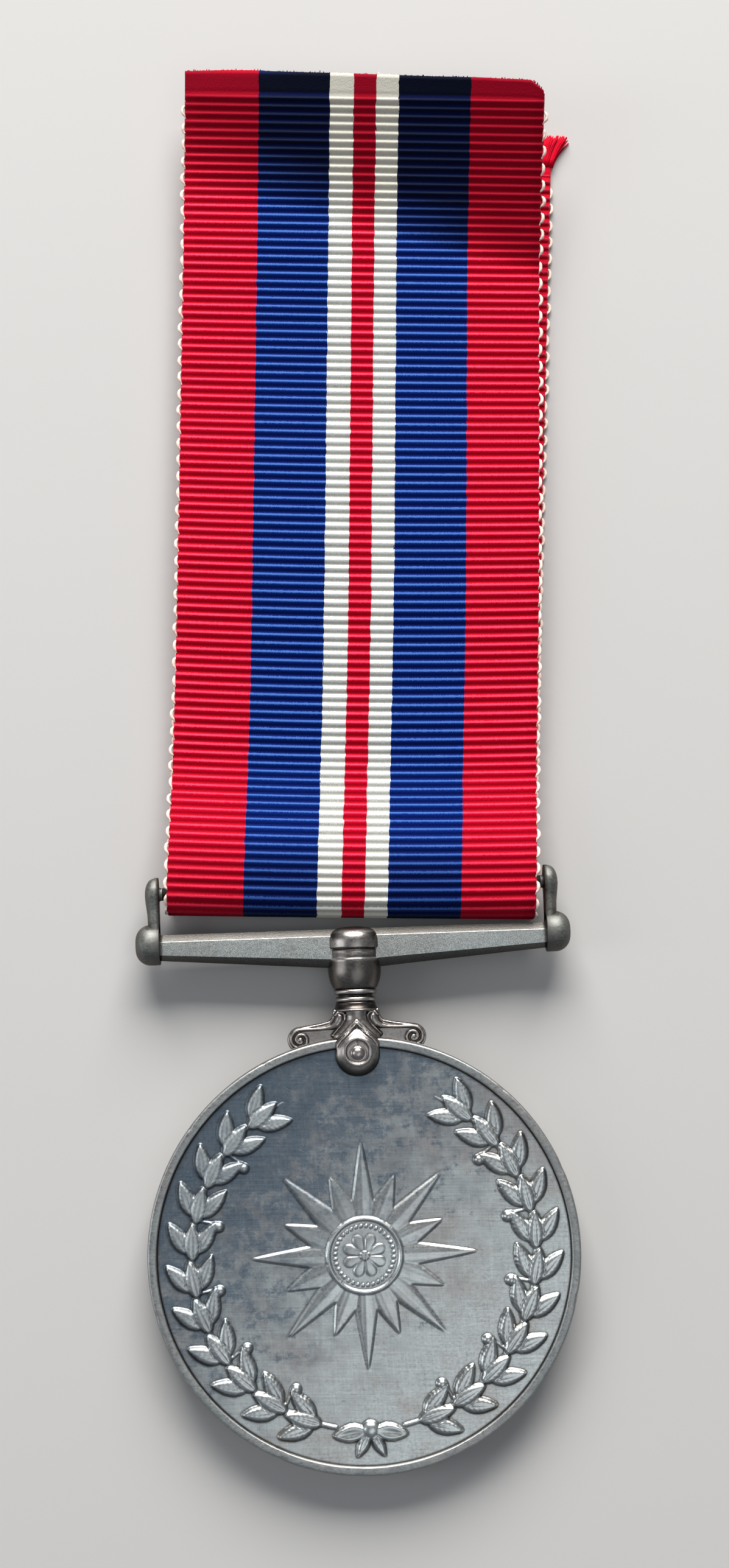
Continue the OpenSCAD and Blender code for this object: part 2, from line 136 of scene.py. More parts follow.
# red, blue and white of the silk: its own colour, with a painted highlight on the crest of a rib, with
# painted shade down between the ribs, and with painted shade where the cloth is turned from the light
BODY = (0.54, 0.0008, 0.018), (0.0015, 0.019, 0.165), (0.74, 0.75, 0.71)
CREST_HIGHLIGHT = (0.69, 0.036, 0.084), (0.038, 0.104, 0.33), (0.88, 0.88, 0.84)
VALLEY_SHADE = (0.35, 0.0, 0.009), (0.0004, 0.0065, 0.085), (0.34, 0.34, 0.31)
AWAY_SHADE = (0.225, 0.0001, 0.010), (0.0004, 0.0014, 0.008), (0.50, 0.48, 0.41)
EDGE_THREAD = (0.80, 0.63, 0.55)
# the cloth stands up within this length of the front layer's end, where it is painted in shade as it turns,
# and takes painted shade this far from the fold
LOOSE_L, FOLD_SHADE = 30, 5
FRONT_THREADS, BACK_THREADS, TUFT_THREADS = 330, 300, 30
THREAD_POINTS, THREAD_SIDES = 5, 5

# Metal: bluish toning, painted shade on steep sides, grime and painted shade in the grooves
BLUE_TONE = (0.115, 0.155, 0.195)
STEEP_SHADE = (0.09, 0.075, 0.065)
GRIME_AND_SHADE = (0.05, 0.042, 0.036)

# How the metal lies: tilted onto the disc's far rim and the pin's back head
TILT = math.atan((PIN_REST - FACE_Z) / (PIN_Y + DISC_R - RIM_BEVEL))
DISC_LOW, DISC_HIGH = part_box("medal_disc")
PLACE = (np.array(DISC_LOW) + np.array(DISC_HIGH)) / 2 / MM

# The ribbon's loop round the rod, as in the solid
ROD_Z = PLACE[2] + ROD_Y * math.sin(TILT)
BACK_Z = SOLID_T / 2
OVER_Z = ROD_Z + ROD_R + CLOTH_GAP + SOLID_T / 2
LOW_Z = SOLID_T * 1.5 + CLOTH_GAP
LOOP_R = (OVER_Z - BACK_Z) / 2
LOOP_Z = (OVER_Z + BACK_Z) / 2
LOOP_LOW = ROD_Y - BAR_Y - BAR_TOP - CLOTH_GAP - RIBBON_W / 2 * math.sin(LEAN)
LOOP_T = LOOP_R + SOLID_T / 2 - LOOP_LOW

# The photograph's viewpoint, from the disc's middle over the floor
CAMERA_AT = (-3.878, 16.029, 218.318)
CAMERA_TURN = (0.10844, -0.02075, -0.03398)
CAMERA_LENS = 58.7


# Making pieces

def laid(points):
    """Points of the metal's own frame in mm, as points of the row frame in metres."""
    p = np.asarray(points, float)
    c, s = math.cos(TILT), math.sin(TILT)
    turned = np.stack([p[:, 0], c * p[:, 1] - s * p[:, 2], s * p[:, 1] + c * p[:, 2]], axis=1)
    return (turned + PLACE) * MM


def mesh_object(name, points, faces, material, values=None, uv=None):
    """A mesh from points in metres and a list of face arrays. values are named floats for each point."""
    mesh = bpy.data.meshes.new(name)
    corners = np.concatenate([f.ravel() for f in faces]).astype(np.int32)
    sizes = np.concatenate([np.full(len(f), f.shape[1], np.int32) for f in faces])
    starts = np.concatenate([[0], np.cumsum(sizes)[:-1]]).astype(np.int32)
    mesh.vertices.add(len(points))
    mesh.vertices.foreach_set("co", np.asarray(points, np.float32).ravel())
    mesh.loops.add(len(corners))
    mesh.loops.foreach_set("vertex_index", corners)
    mesh.polygons.add(len(sizes))
    mesh.polygons.foreach_set("loop_start", starts)
    mesh.polygons.foreach_set("use_smooth", np.full(len(sizes), True))
    if uv is not None:
        layer = mesh.uv_layers.new(name="flat")
        layer.data.foreach_set("uv", np.asarray(uv, np.float32)[corners].ravel())
    for key, value in (values or {}).items():
        mesh.attributes.new(key, "FLOAT", "POINT").data.foreach_set("value", np.asarray(value, np.float32))
    mesh.update(calc_edges=True)
    mesh.validate()
    mesh.materials.append(material)
    made = bpy.data.objects.new(name, mesh)
    bpy.context.scene.collection.objects.link(made)
    return made


def piece(made, node):
    """Makes an object part of the medal, in the place of a CAD node."""
    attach(made, "root")
    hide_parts(node)
    return made


def grid_quads(rows, columns, wrap=True, flip=False):
    """Faces of a grid of points. One that wraps joins its last column to its first."""
    i, j = np.meshgrid(np.arange(rows - 1), np.arange(columns if wrap else columns - 1), indexing="ij")
    low, k = i * columns, (j + 1) % columns
    quads = np.stack([low + j, low + k, low + columns + k, low + columns + j], axis=-1).reshape(-1, 4)
    return quads[:, [0, 3, 2, 1]] if flip else quads


def loft(sections):
    """A closed solid through sections of equally many points, each a loop."""
    sections = np.asarray(sections, float)
    m, n = sections.shape[:2]
    cap = np.arange(n)[None]
    return sections.reshape(-1, 3), [grid_quads(m, n), cap[:, ::-1], cap + (m - 1) * n]


def lathe(profile, segments=96):
    """Turns a profile of (radius, height) about Z, from its lowest point to its highest."""
    radius, height = np.asarray(profile, float).T[..., None]
    turn = np.arange(segments) * 2 * np.pi / segments
    return loft(np.stack([radius * np.cos(turn), radius * np.sin(turn), height + 0 * turn], axis=-1))


def joined(*parts):
    """One list of points and faces from several."""
    points, faces, start = [], [], 0
    for p, f in parts:
        points.append(p)
        faces += [x + start for x in f]
        start += len(p)
    return np.concatenate(points), faces


def moved(part, matrix):
    """A part under a 4x4 matrix, with its faces turned over if the matrix mirrors."""
    points, faces = part
    m = np.array(matrix)
    points = points @ m[:3, :3].T + m[:3, 3]
    if np.linalg.det(m[:3, :3]) < 0:
        faces = [f[:, ::-1] for f in faces]
    return points, faces


def along_y(y):
    """The matrix that lays a turned part along +Y."""
    return Matrix.Translation((0, y, 0)) @ Matrix.Rotation(-math.pi / 2, 4, "X")


def along_x(x, y):
    """The matrix that lays a turned part along +X."""
    return Matrix.Translation((x, y, 0)) @ Matrix.Rotation(math.pi / 2, 4, "Y")


def unit(vectors):
    """Vectors, in the last axis, each brought to length 1."""
    return vectors / np.maximum(np.linalg.norm(vectors, axis=-1, keepdims=True), 1e-12)


def arc(middle, radius, first, last, steps):
    """Points of an arc, with its angles in degrees and its radius as one number or as (x, y)."""
    rx, ry = radius if hasattr(radius, "__len__") else (radius, radius)
    a = np.radians(np.linspace(first, last, steps + 1))
    return list(zip(middle[0] + rx * np.cos(a), middle[1] + ry * np.sin(a)))


def rounded(corners, radius, steps=4):
    """A closed outline with each of its corners rounded off."""
    corners = np.asarray(corners, float)
    out = []
    for before, corner, after in zip(np.roll(corners, 1, 0), corners, np.roll(corners, -1, 0)):
        a, b = unit(before - corner), unit(after - corner)
        half = math.acos(float(np.clip(a @ b, -1, 1))) / 2
        cut = radius / math.tan(half)
        start, end = corner + a * cut, corner + b * cut
        for t in np.linspace(0, 1, steps + 1):
            out.append((1 - t) ** 2 * start + 2 * t * (1 - t) * corner + t ** 2 * end)
    return np.array(out)


def ease(x):
    """From 0 at 0 to 1 at 1, level at both."""
    return (1 - np.cos(np.pi * np.clip(x, 0, 1))) / 2


def bell(x, width):
    """From 1 at 0 down to nothing, over about a width to each side."""
    return np.exp(-(x / width) ** 2)


def bead(distance, half_width):
    """A round line's height, from 1 on the line to 0 at its edges."""
    return np.sqrt(np.clip(1 - (distance / half_width) ** 2, 0, 1))


def line_distance(x, y, line, closed=False):
    """Distance from points to a line through given points, negative inside it where it is closed."""
    line = np.asarray(line, float)
    nearest, inside = np.full(x.shape, 1e3), np.zeros(x.shape, bool)
    for (ax, ay), (bx, by) in zip(line, np.roll(line, -1, 0) if closed else line[1:]):
        ex, ey = bx - ax, by - ay
        share = np.clip(((x - ax) * ex + (y - ay) * ey) / (ex * ex + ey * ey), 0, 1)
        nearest = np.minimum(nearest, np.hypot(x - ax - share * ex, y - ay - share * ey))
        if closed and ay != by:
            inside ^= ((ay > y) != (by > y)) & (x < (y - ay) * ex / ey + ax)
    return np.where(inside, -nearest, nearest)


def smooth_max(a, b, k):
    """The larger of two, with the corner between them rounded over a width of k."""
    h = np.clip(0.5 + 0.5 * (a - b) / k, 0, 1)
    return b * (1 - h) + a * h + k * h * (1 - h)


# Materials

def fill(made, inputs):
    """Sets a node's inputs, by name or number. A value that is another node's output is linked."""
    for key, value in inputs.items():
        if isinstance(value, bpy.types.NodeSocket):
            made.id_data.links.new(value, made.inputs[key])
        else:
            made.inputs[key].default_value = value


class Shader:
    """A material on the Principled shader. Its methods add nodes and return their outputs."""

    def __init__(self, name, inputs):
        self.material = bpy.data.materials.new(name)
        self.material.use_nodes = True
        self.tree = self.material.node_tree
        self.surface(inputs)

    def surface(self, inputs):
        """Sets the Principled shader's own inputs."""
        fill(self.tree.nodes["Principled BSDF"], inputs)

    def make(self, kind, inputs, **settings):
        """A new node of a kind."""
        made = self.tree.nodes.new("ShaderNode" + kind)
        for key, value in settings.items():
            setattr(made, key, value)
        fill(made, inputs)
        return made

    def node(self, kind, inputs, output=0, **settings):
        """One output of a new node."""
        return self.make(kind, inputs, **settings).outputs[output]

    def math(self, operation, a, b=0.0):
        return self.node("Math", {0: a, 1: b}, operation=operation)

    def add(self, a, b):
        return self.math("ADD", a, b)

    def times(self, a, b):
        return self.math("MULTIPLY", a, b)

    def larger(self, a, b):
        return self.math("MAXIMUM", a, b)

    def split(self, vector, axis):
        return self.node("SeparateXYZ", {"Vector": vector}, axis)

    def attribute(self, name):
        return self.node("Attribute", {}, "Fac", attribute_name=name)

    def remap(self, value, low, high, to_low=0.0, to_high=1.0):
        return self.node("MapRange", {
            "Value": value, "From Min": low, "From Max": high, "To Min": to_low, "To Max": to_high})

    def blend(self, share, a, b, kind="MIX"):
        """Mixes two colours by a share."""
        a, b = [c if isinstance(c, bpy.types.NodeSocket) else (*c, 1) for c in (a, b)]
        return self.node("Mix", {0: share, 6: a, 7: b}, 2, data_type="RGBA", blend_type=kind)

    def noise(self, vector, scale, detail=3.0, roughness=0.55):
        return self.node("TexNoise", {
            "Vector": vector, "Scale": scale, "Detail": detail, "Roughness": roughness})

    def millimetres(self, scale=(1, 1, 1), turn=0.0):
        """Object coordinates in mm, turned about Z and then stretched by a scale."""
        coords = self.node("TexCoord", {}, "Object")
        if turn:
            coords = self.node("Mapping", {"Vector": coords, "Rotation": (0, 0, turn)})
        return self.node("Mapping", {"Vector": coords, "Scale": [s / MM for s in scale]})

    def bump(self, height, strength, distance, below=None):
        """The normal for a height in mm, laid over another bump's."""
        inputs = {"Height": height, "Strength": strength, "Distance": distance * MM}
        if below is not None:
            inputs["Normal"] = below
        return self.node("Bump", inputs)

    def stripes(self, place, colours):
        """The woven stripes from one edge of the ribbon to the other, in red, blue and white."""
        made = self.make("ValToRGB", {"Fac": place})
        made.color_ramp.interpolation = "CONSTANT"
        points = made.color_ramp.elements
        points.remove(points[1])
        edge = 0.0
        for i, (kind, width) in enumerate(zip((0, 1, 2, 0, 2, 1, 0), STRIPES)):
            point = points[0] if i == 0 else points.new(edge / RIBBON_W)
            point.position = edge / RIBBON_W
            point.color = (*colours[kind], 1)
            edge += width
        return made.outputs["Color"]


def metal(name, clean, toned, warm, rough, toning, streaks, speckle, side_shade, stipple=0.0, drift=0.0):
    """Old cupro-nickel: mottled toning, streaks and specks, brighter where rubbed and under painted
    highlights, dark with grime and painted shade in the recesses.

    The mesh's values are "wear_and_highlight", 1 on rubbed high points and edges and on painted highlights,
    "grime_and_shade", 1 in grooves and where shade is painted, and "raised", 1 on relief. side_shade paints
    shade on surfaces that stand steep; drift tones the disc's -X and +Y side more.
    """
    s = Shader(name, {"Metallic": 1.0})
    plain = s.millimetres()
    patches = s.noise(plain, 0.5, 6.0, 0.72)
    specks = s.noise(s.millimetres((2.4, 3.4, 3.2)), 1.5, 6.0, 0.8)
    blotches = s.noise(s.millimetres((1, 1.15, 1)), 0.75, 8.0, 0.72)
    across = s.noise(s.millimetres((0.25, 8, 8), 0.03), 1.0, 3.0, 0.7)
    down = s.noise(s.millimetres((7, 0.3, 8), -0.06), 1.0, 3.0, 0.7)
    slanting = s.noise(s.millimetres((9, 0.3, 9), 0.8), 1.0, 2.0, 0.6)
    crossing = s.noise(s.millimetres((9, 0.35, 9), -1.1), 1.0, 2.0, 0.6)

    # toning
    tone = s.remap(patches, 0, 1, toning - 0.45, toning + 0.45)
    tone = s.add(tone, s.remap(specks, 0, 1, -0.6, 0.6))
    warm_share = s.remap(s.noise(plain, 0.17, 5.0, 0.7), 0.46, 0.62, 0.0, 0.75)
    colour = s.blend(warm_share, clean, warm)
    if drift:
        lean = s.math("SUBTRACT", s.add(s.split(plain, "Y"), -PLACE[1]), s.split(plain, "X"))
        tone = s.add(tone, s.remap(lean, -22, 22, -drift, drift))
        blue = s.add(s.remap(lean, -14, 22, -0.14, 0.12), blotches)
    colour = s.blend(s.remap(tone, 0.25, 0.85), colour, toned)
    if drift:
        colour = s.blend(s.remap(blue, 0.5, 0.6, 0.0, 0.72), colour, BLUE_TONE)

    # specks, brushing and scratches
    spread = s.times(s.remap(specks, 0.3, 0.7, -1, 1), speckle)
    brushed = s.add(s.remap(across, 0.35, 0.65, -1, 1), s.remap(down, 0.35, 0.65, -0.6, 0.6))
    patchy = s.times(brushed, s.remap(blotches, 0.35, 0.6, 0.3, 1.0))
    spread = s.add(spread, s.times(patchy, streaks))
    if stipple:
        grain = s.noise(plain, 12.0, 1.0, 0.5)
        spread = s.add(spread, s.remap(grain, 0.36, 0.64, -stipple, stipple))
    shade = s.add(spread, 1.0)
    shade = s.node("CombineColor", {"Red": shade, "Green": shade, "Blue": shade})
    colour = s.blend(1.0, colour, shade, "MULTIPLY")
    scratch = s.larger(s.remap(across, 0.69, 0.74), s.remap(slanting, 0.73, 0.77))
    scratch = s.larger(scratch, s.remap(crossing, 0.73, 0.77))
    scratch = s.times(scratch, min(1.0, 2.2 * streaks))
    colour = s.blend(scratch, colour, [1.3 * a + 0.05 for a in clean])

    # relief, painted shade on steep sides, grime and painted shade in grooves, rubbing and painted highlights
    relief_share = s.times(s.attribute("raised"), s.remap(patches, 0.4, 0.6, 0.85, 0.5))
    colour = s.blend(relief_share, colour, [1.2 * a + 0.06 for a in clean])
    level = s.math("ABSOLUTE", s.split(s.node("TexCoord", {}, "Normal"), "Z"))
    colour = s.blend(s.remap(level, 0.25, 0.85, side_shade, 0.0), colour, STEEP_SHADE)
    colour = s.blend(s.times(s.attribute("grime_and_shade"), 0.9), colour, GRIME_AND_SHADE)
    colour = s.blend(s.times(s.attribute("wear_and_highlight"), 0.7), colour, [min(1, 1.35 * a + 0.08) for a in clean])

    roughness = s.remap(tone, 0.2, 0.9, rough, rough + 0.14)
    roughness = s.add(roughness, s.remap(specks, 0.3, 0.7, -0.05, 0.05))
    normal = s.bump(patchy, 0.3 * streaks, 0.02)
    normal = s.bump(specks, 0.4 * speckle, 0.03, normal)
    if stipple:
        normal = s.bump(grain, 0.6, 0.03, normal)
    s.surface({"Base Color": colour, "Roughness": roughness, "Normal": normal})
    return s.material


def cloth():
    """Ribbed silk in woven stripes. The mesh's value "rib_at" counts the ribs along it, each from 0 to 1.

    Each rib gets a painted highlight on its far side, then its full colour, and painted shade towards the
    next one. The mesh's value "turned" is 1 where the cloth stands up so far from the light that it is
    painted in shade, with the painted highlight gone.
    """
    s = Shader("ribbon_silk", {"Specular IOR Level": 0.05, "Sheen Weight": 0.05, "Sheen Roughness": 0.4})
    uv = s.node("UVMap", {}, uv_map="flat")
    threads, fibres = [
        s.noise(s.node("Mapping", {"Vector": uv, "Scale": scale}), 1.0, 2.0, 0.6)
        for scale in ((6, 1, 1), (11, 5, 1))]
    place = s.add(s.split(uv, "X"), s.remap(threads, 0.3, 0.7, -0.06, 0.06))
    place = s.math("DIVIDE", place, RIBBON_W)
    part = s.math("FRACT", s.attribute("rib_at"))
    part = s.add(part, s.remap(fibres, 0.3, 0.7, -0.07, 0.07))
    off_crest = s.math("ABSOLUTE", s.math("SUBTRACT", part, CREST_AT))
    turned = s.attribute("turned")
    # painted highlight on the crest, fading where the cloth is turned; painted shade between ribs and where
    # it is turned
    crest_highlight = s.times(s.remap(off_crest, 0.16, 0.08), s.remap(turned, 0, 1, 1, 0.06))
    valley_shade_share = s.larger(s.remap(part, 0.46, 0.2), s.remap(part, 0.9, 0.96))
    body, crest, valley_shade, away_shade = [s.stripes(place, colours) for colours in (BODY, CREST_HIGHLIGHT, VALLEY_SHADE, AWAY_SHADE)]
    colour = s.blend(turned, body, away_shade)
    colour = s.blend(valley_shade_share, colour, s.blend(s.times(turned, 0.6), valley_shade, away_shade))
    colour = s.blend(crest_highlight, colour, crest)
    colour = s.blend(s.attribute("selvedge"), colour, EDGE_THREAD)
    normal = s.bump(fibres, 0.8, 0.05, s.bump(threads, 0.5, 0.04))
    s.surface({"Base Color": colour, "Roughness": s.remap(crest_highlight, 0, 1, 0.7, 0.5), "Normal": normal})
    return s.material


def matt(name, colour):
    """Plain paint, faintly uneven."""
    s = Shader(name, {"Roughness": 0.85})
    shade = s.noise(s.millimetres(), 0.02, 2.0)
    s.surface({"Base Color": s.blend(shade, [c * 0.97 for c in colour], colour)})
    return s.material


# The disc

def stamp(height, x, y, base, turn, length, width, top, hollow=0.0):
    """Lays a pointed leaf over a height map, covering what is under it. A hollow one is a bow's loop."""
    c, s = math.cos(turn), math.sin(turn)
    near = np.hypot(x - base[0] - c * length / 2, y - base[1] - s * length / 2) < 0.62 * length
    dx, dy = x[near] - base[0], y[near] - base[1]
    along = (dx * c + dy * s) / length
    across = dy * c - dx * s
    half = width / 2 * np.sin(np.pi * np.clip(along, 0, 1) ** 0.8) ** 0.75
    share = np.abs(across) / np.maximum(half, 1e-4)
    body = 0.35 + 0.65 * bead(share, 1)
    body *= 0.82 + 0.18 * np.sin(np.pi * np.clip(along, 0, 1))
    if hollow:
        body -= hollow * bell(share, 0.45) * np.sin(np.pi * np.clip(along, 0, 1))
    else:
        body -= 0.26 * bell(across, 0.07) * np.clip(1.15 - along, 0, 1)
        body += 0.035 * np.cos(2 * np.pi * (along * length - 0.9 * np.abs(across)) / 0.42) * (share > 0.15)
    inside = (along > 0) & (along < 1) & (share < 1)
    old = height[near]
    old[inside] = top * body[inside]
    height[near] = old


def dome(height, x, y, middle, radius, top):
    """Lays a round berry or knot over a height map."""
    d = np.hypot(x - middle[0], y - middle[1])
    np.copyto(height, np.maximum(height, top * bead(d, radius)), where=d < radius)


def star(height, x, y):
    """A star of eight long and eight short rays, each a ridge between two plane facets."""
    radius, turn = np.hypot(x, y), np.arctan2(x, y)
    sector = np.pi / 8
    near = np.round(turn / sector).astype(int)
    tip_r = np.where(near % 2 == 0, STAR_R, STAR_SHORT * STAR_R)
    off = np.abs(turn - near * sector)
    px, py = np.sqrt((radius * np.sin(off)) ** 2 + 0.016), radius * np.cos(off)
    dip = STAR_DIP * STAR_R
    ex, ey = dip * math.sin(sector / 2), dip * math.cos(sector / 2) - tip_r
    length = np.hypot(ex, ey)
    inward = (px * ey - (py - tip_r) * ex) / length
    share = np.clip(inward / (tip_r * ex / length), 0, 1)
    lines = 0.022 * np.cos(2 * np.pi * px / 0.5) * (share > 0.1)
    height[:] = 0.85 * RELIEF_H * (0.26 + 0.74 * share ** 0.75 + lines) * ease(inward / 0.15 + 0.5)


def wreath(height, x, y):
    """Two branches of leaves in threes, with berries, tied by a bow at the bottom."""
    step = (BRANCH_LAST - BRANCH_FIRST) / LEAF_GROUPS
    from_foot = np.degrees(np.arctan2(np.abs(x), -y))
    thin = 0.05 + 0.11 * ease((BRANCH_LAST + 2 - from_foot) / 25)
    stalk = 0.36 * RELIEF_H * bead(np.hypot(x, y) - WREATH_R, thin)
    on_branch = (from_foot > BRANCH_FIRST - 6) & (from_foot < BRANCH_LAST + 2)
    np.copyto(height, np.maximum(height, stalk), where=on_branch)

    def ray(angle):
        return np.array([math.cos(angle), math.sin(angle)])

    def leaf(side, base, way, *size):
        if side < 0:
            base, way = base * (-1, 1), math.pi - way
        stamp(height, x, y, base, way, *size)

    for side in (1, -1):
        for i in reversed(range(LEAF_GROUPS)):
            at = math.radians(BRANCH_FIRST + i * step - 90)
            turn = at + math.pi / 2
            middle, forward = ray(at) * WREATH_R, ray(turn)
            right = np.array([forward[1], -forward[0]])
            if i % 2 == 1:
                leaf(side, middle + forward * 0.2, math.pi + at, 1.7, 0.2, 0.4 * RELIEF_H)
                berry = middle - ray(at) * 1.75 * LEAF_W
                dome(height, x, y, berry * (side, 1), 0.45, 0.8 * RELIEF_H)
            for lean in (-1, 1):
                base = middle + right * lean * 0.35 * LEAF_W + forward * 0.2 * LEAF_L
                leaf(side, base, turn - lean * LEAF_LEAN, 1.15 * LEAF_L, 1.18 * LEAF_W, 0.86 * RELIEF_H)
            leaf(side, middle - forward * 0.1, turn, 1.2 * LEAF_L, 1.25 * LEAF_W, RELIEF_H)
    bow = np.array([0, -WREATH_R])
    knot_r = 0.7 * LEAF_W
    for side in (1, -1):
        for swing, length, width, hollow in ((152, 0.8, 0.8, 0.0), (98, 1.05, 1.3, 0.45)):
            turn = math.radians(90 + side * swing)
            base = bow + ray(turn) * 0.5 * knot_r
            stamp(height, x, y, base, turn, length * LEAF_L, width * LEAF_W, 0.92 * RELIEF_H, hollow)
    dome(height, x, y, bow, knot_r, 1.05 * RELIEF_H)


def roundel(height, x, y):
    """A medallion in the middle of the star: a raised edge, a ring of beads and a rosette."""
    d, turn = np.hypot(x, y), np.arctan2(y, x) / (2 * np.pi)
    inside = d < ROUNDEL_R
    off = (turn * BEADS) % 1 - 0.5
    bead_d = np.hypot(off * 2 * np.pi * d / BEADS, d - 0.76 * ROUNDEL_R)
    petal = np.abs((turn * PETALS) % 1 - 0.5) * 2
    reach = 0.58 * ROUNDEL_R * (0.62 + 0.38 * np.cos(petal * np.pi / 2) ** 0.6)
    rosette = 0.34 * np.sqrt(np.clip(1 - (d / reach) ** 3, 0, 1)) - 0.22 * bell(1 - petal, 0.12)
    base = 0.62 + 0.32 * bead(d - ROUNDEL_R + 0.18, 0.18) + 0.28 * bead(bead_d, 0.15)
    base += np.where(d < reach, rosette, 0) + 0.3 * bead(d, 0.42)
    height[inside] = RELIEF_H * base[inside]


def blurred(height, rounds, wrap):
    """Evens out a grid of heights. The second axis of a grid that wraps runs on into its start."""
    for _ in range(rounds):
        padded = np.pad(height, ((1, 1), (0, 0)), "edge")
        padded = np.pad(padded, ((0, 0), (1, 1)), "wrap" if wrap else "edge")
        around = (padded[:-2, 1:-1] + padded[2:, 1:-1] + padded[1:-1, :-2] + padded[1:-1, 2:]) / 4
        height = 0.55 * height + 0.45 * around
    return height


def relief(radius, angle, draw, wrap):
    """The front field over a grid of points, with what the draw functions put on it."""
    x, y = radius * np.cos(angle), radius * np.sin(angle)
    height = np.zeros_like(x)
    for pattern in draw:
        pattern(height, x, y)
    height = blurred(height, 3, wrap)
    # against the broad form: above it is rubbed, below it takes grime and painted shade; the groove at the
    # rim's foot takes painted shade too
    contrast = (height - blurred(height, 22, wrap)) / RELIEF_H
    share = np.clip(height / RELIEF_H, 0, 1)
    wear_and_highlight = np.clip(contrast * 2.2 - 0.2, 0, 1) * share * 0.7
    grime_and_shade = np.clip(-contrast * 3.8 - 0.08, 0, 1)
    grime_and_shade = np.maximum(grime_and_shade, ease((np.abs(radius) - FIELD_R + 0.18) / 0.12) * 0.9)
    swell = 0.015 * np.sin(0.41 * x + 1.3) * np.cos(0.37 * y - 0.6) * (height < 0.02)
    points = laid(np.stack([x, y, FIELD_Z + height + swell], axis=-1).reshape(-1, 3))
    return points, [grid_quads(*x.shape, wrap, flip=True)], {
        "wear_and_highlight": wear_and_highlight.ravel(), "grime_and_shade": grime_and_shade.ravel(), "raised": share.ravel()}


def star_field():
    """The field inside the wreath, on a square grid that is drawn out to a circle."""
    a = np.linspace(-1, 1, STAR_GRID)
    u, v = np.meshgrid(a, a, indexing="ij")
    wide = np.abs(u) > np.abs(v)
    radius = np.where(wide, u, v) * RING_FROM
    angle = np.where(
        wide, np.pi / 4 * v / np.where(u == 0, 1, u), np.pi / 2 - np.pi / 4 * u / np.where(v == 0, 1, v))
    return relief(radius, angle, (star, roundel), False)


def wreath_field():
    """The ring of the field that holds the wreath, on a grid of radii and angles."""
    rows = np.linspace(RING_FROM, FIELD_R - 0.05, WREATH_ROWS)
    columns = np.arange(WREATH_COLUMNS) * 2 * np.pi / WREATH_COLUMNS
    radius, angle = np.meshgrid(rows, columns, indexing="ij")
    return relief(radius, angle, (wreath,), True)


def disc_body():
    """The rims, the edge and the plain back, turned in one profile with a few small knocks."""
    # the rounded rim, as steps in from the edge, in from the field, and up from the field
    outside = [(0, -0.3), (-0.01, -0.18), (-0.05, -0.08), (-0.12, -0.02), (-0.2, 0)]
    inside = [(0.16, 0), (0.09, -0.03), (0.04, -0.1)]
    foot = [(0, 0.1), (-0.03, 0.02), (-0.06, -0.05)]
    top = [(DISC_R + r, FACE_Z + z) for r, z in outside] + [(FIELD_R + r, FACE_Z + z) for r, z in inside]
    top += [(FIELD_R + r, FIELD_Z + z) for r, z in foot]
    back = [(r, -z) for r, z in top[:-1]][::-1]
    centre = [(1e-3, -FIELD_Z), (6, -FIELD_Z), (12, -FIELD_Z), (FIELD_R - 0.3, -FIELD_Z)]
    sides = [(DISC_R, -0.6), (DISC_R, 0), (DISC_R, 0.6)]
    points, faces = lathe(centre + back + sides + top, DISC_SIDES)
    radius, z = np.hypot(points[:, 0], points[:, 1]), points[:, 2]
    turn = np.arctan2(points[:, 1], points[:, 0])
    outer = ease((radius - DISC_R + 0.9) / 0.6)
    knock = np.zeros(len(points))
    for _ in range(KNOCKS):
        middle, face = rng.uniform(-np.pi, np.pi), rng.choice([-1.0, 1.0])
        width, depth = rng.uniform(0.008, 0.03), rng.uniform(0.02, 0.08)
        off = (turn - middle + np.pi) % (2 * np.pi) - np.pi
        knock += depth * bell(off, width) * bell(z - face * FACE_Z, 0.35)
    points = points * (1 - (outer * knock)[:, None] * (1 / DISC_R, 1 / DISC_R, 0.4))
    edge = bell(radius - DISC_R + 0.1, 0.06) + bell(radius - FIELD_R - 0.1, 0.05)
    wear_and_highlight = edge * (np.abs(z) > FACE_Z - 0.12) * 0.6
    # painted shade in the groove where the field meets the rim
    grime_and_shade = np.where(radius < FIELD_R + 0.03, np.clip((radius - FIELD_R + 0.2) / 0.15, 0, 1), 0)
    return laid(points), faces[:1], {"wear_and_highlight": wear_and_highlight, "grime_and_shade": grime_and_shade}


# The claw with its scroll arms, as the surface of a field that is negative inside

def arm_plate():
    """The outline of one scroll arm on the +X side, as far down as inside the disc's edge."""
    return [
        (-0.5, 17), (-0.5, NECK_Y), (1.9, NECK_Y), *arc((2.78, 20.12), 0.8, 175, 268, 10), (4.2, 19.1),
        *arc(VOLUTE, VOLUTE_R, 88, -60, 24),
    ]


def arm_lines():
    """Raised lines of one arm: the bead that winds into the volute, the edge bead, the ear's bead."""
    turns = np.linspace(0, 1.65, 60)
    spiral_r = 0.87 - 0.66 * turns / 1.65
    spiral_a = np.radians(97) - 2 * np.pi * turns
    spiral = VOLUTE + spiral_r[:, None] * np.stack([np.cos(spiral_a), np.sin(spiral_a)], axis=1)
    winding = [(2.05, 19.02), (2.45, 18.87), (3.4, 18.83), (4.3, 18.81), *spiral]
    edge = [(2.45, 19.36), (3.1, 19.17), (4.2, 19.0), *arc(VOLUTE, VOLUTE_R - 0.09, 90, -40, 16)]
    ear = [
        (1.78, 19.88), *arc((1.38, 19.78), (0.42, 0.38), 60, 180, 8),
        (0.97, 19.45), (1.27, 19.03), (1.70, 18.6), (2.02, 18.24),
    ]
    return winding, edge, ear


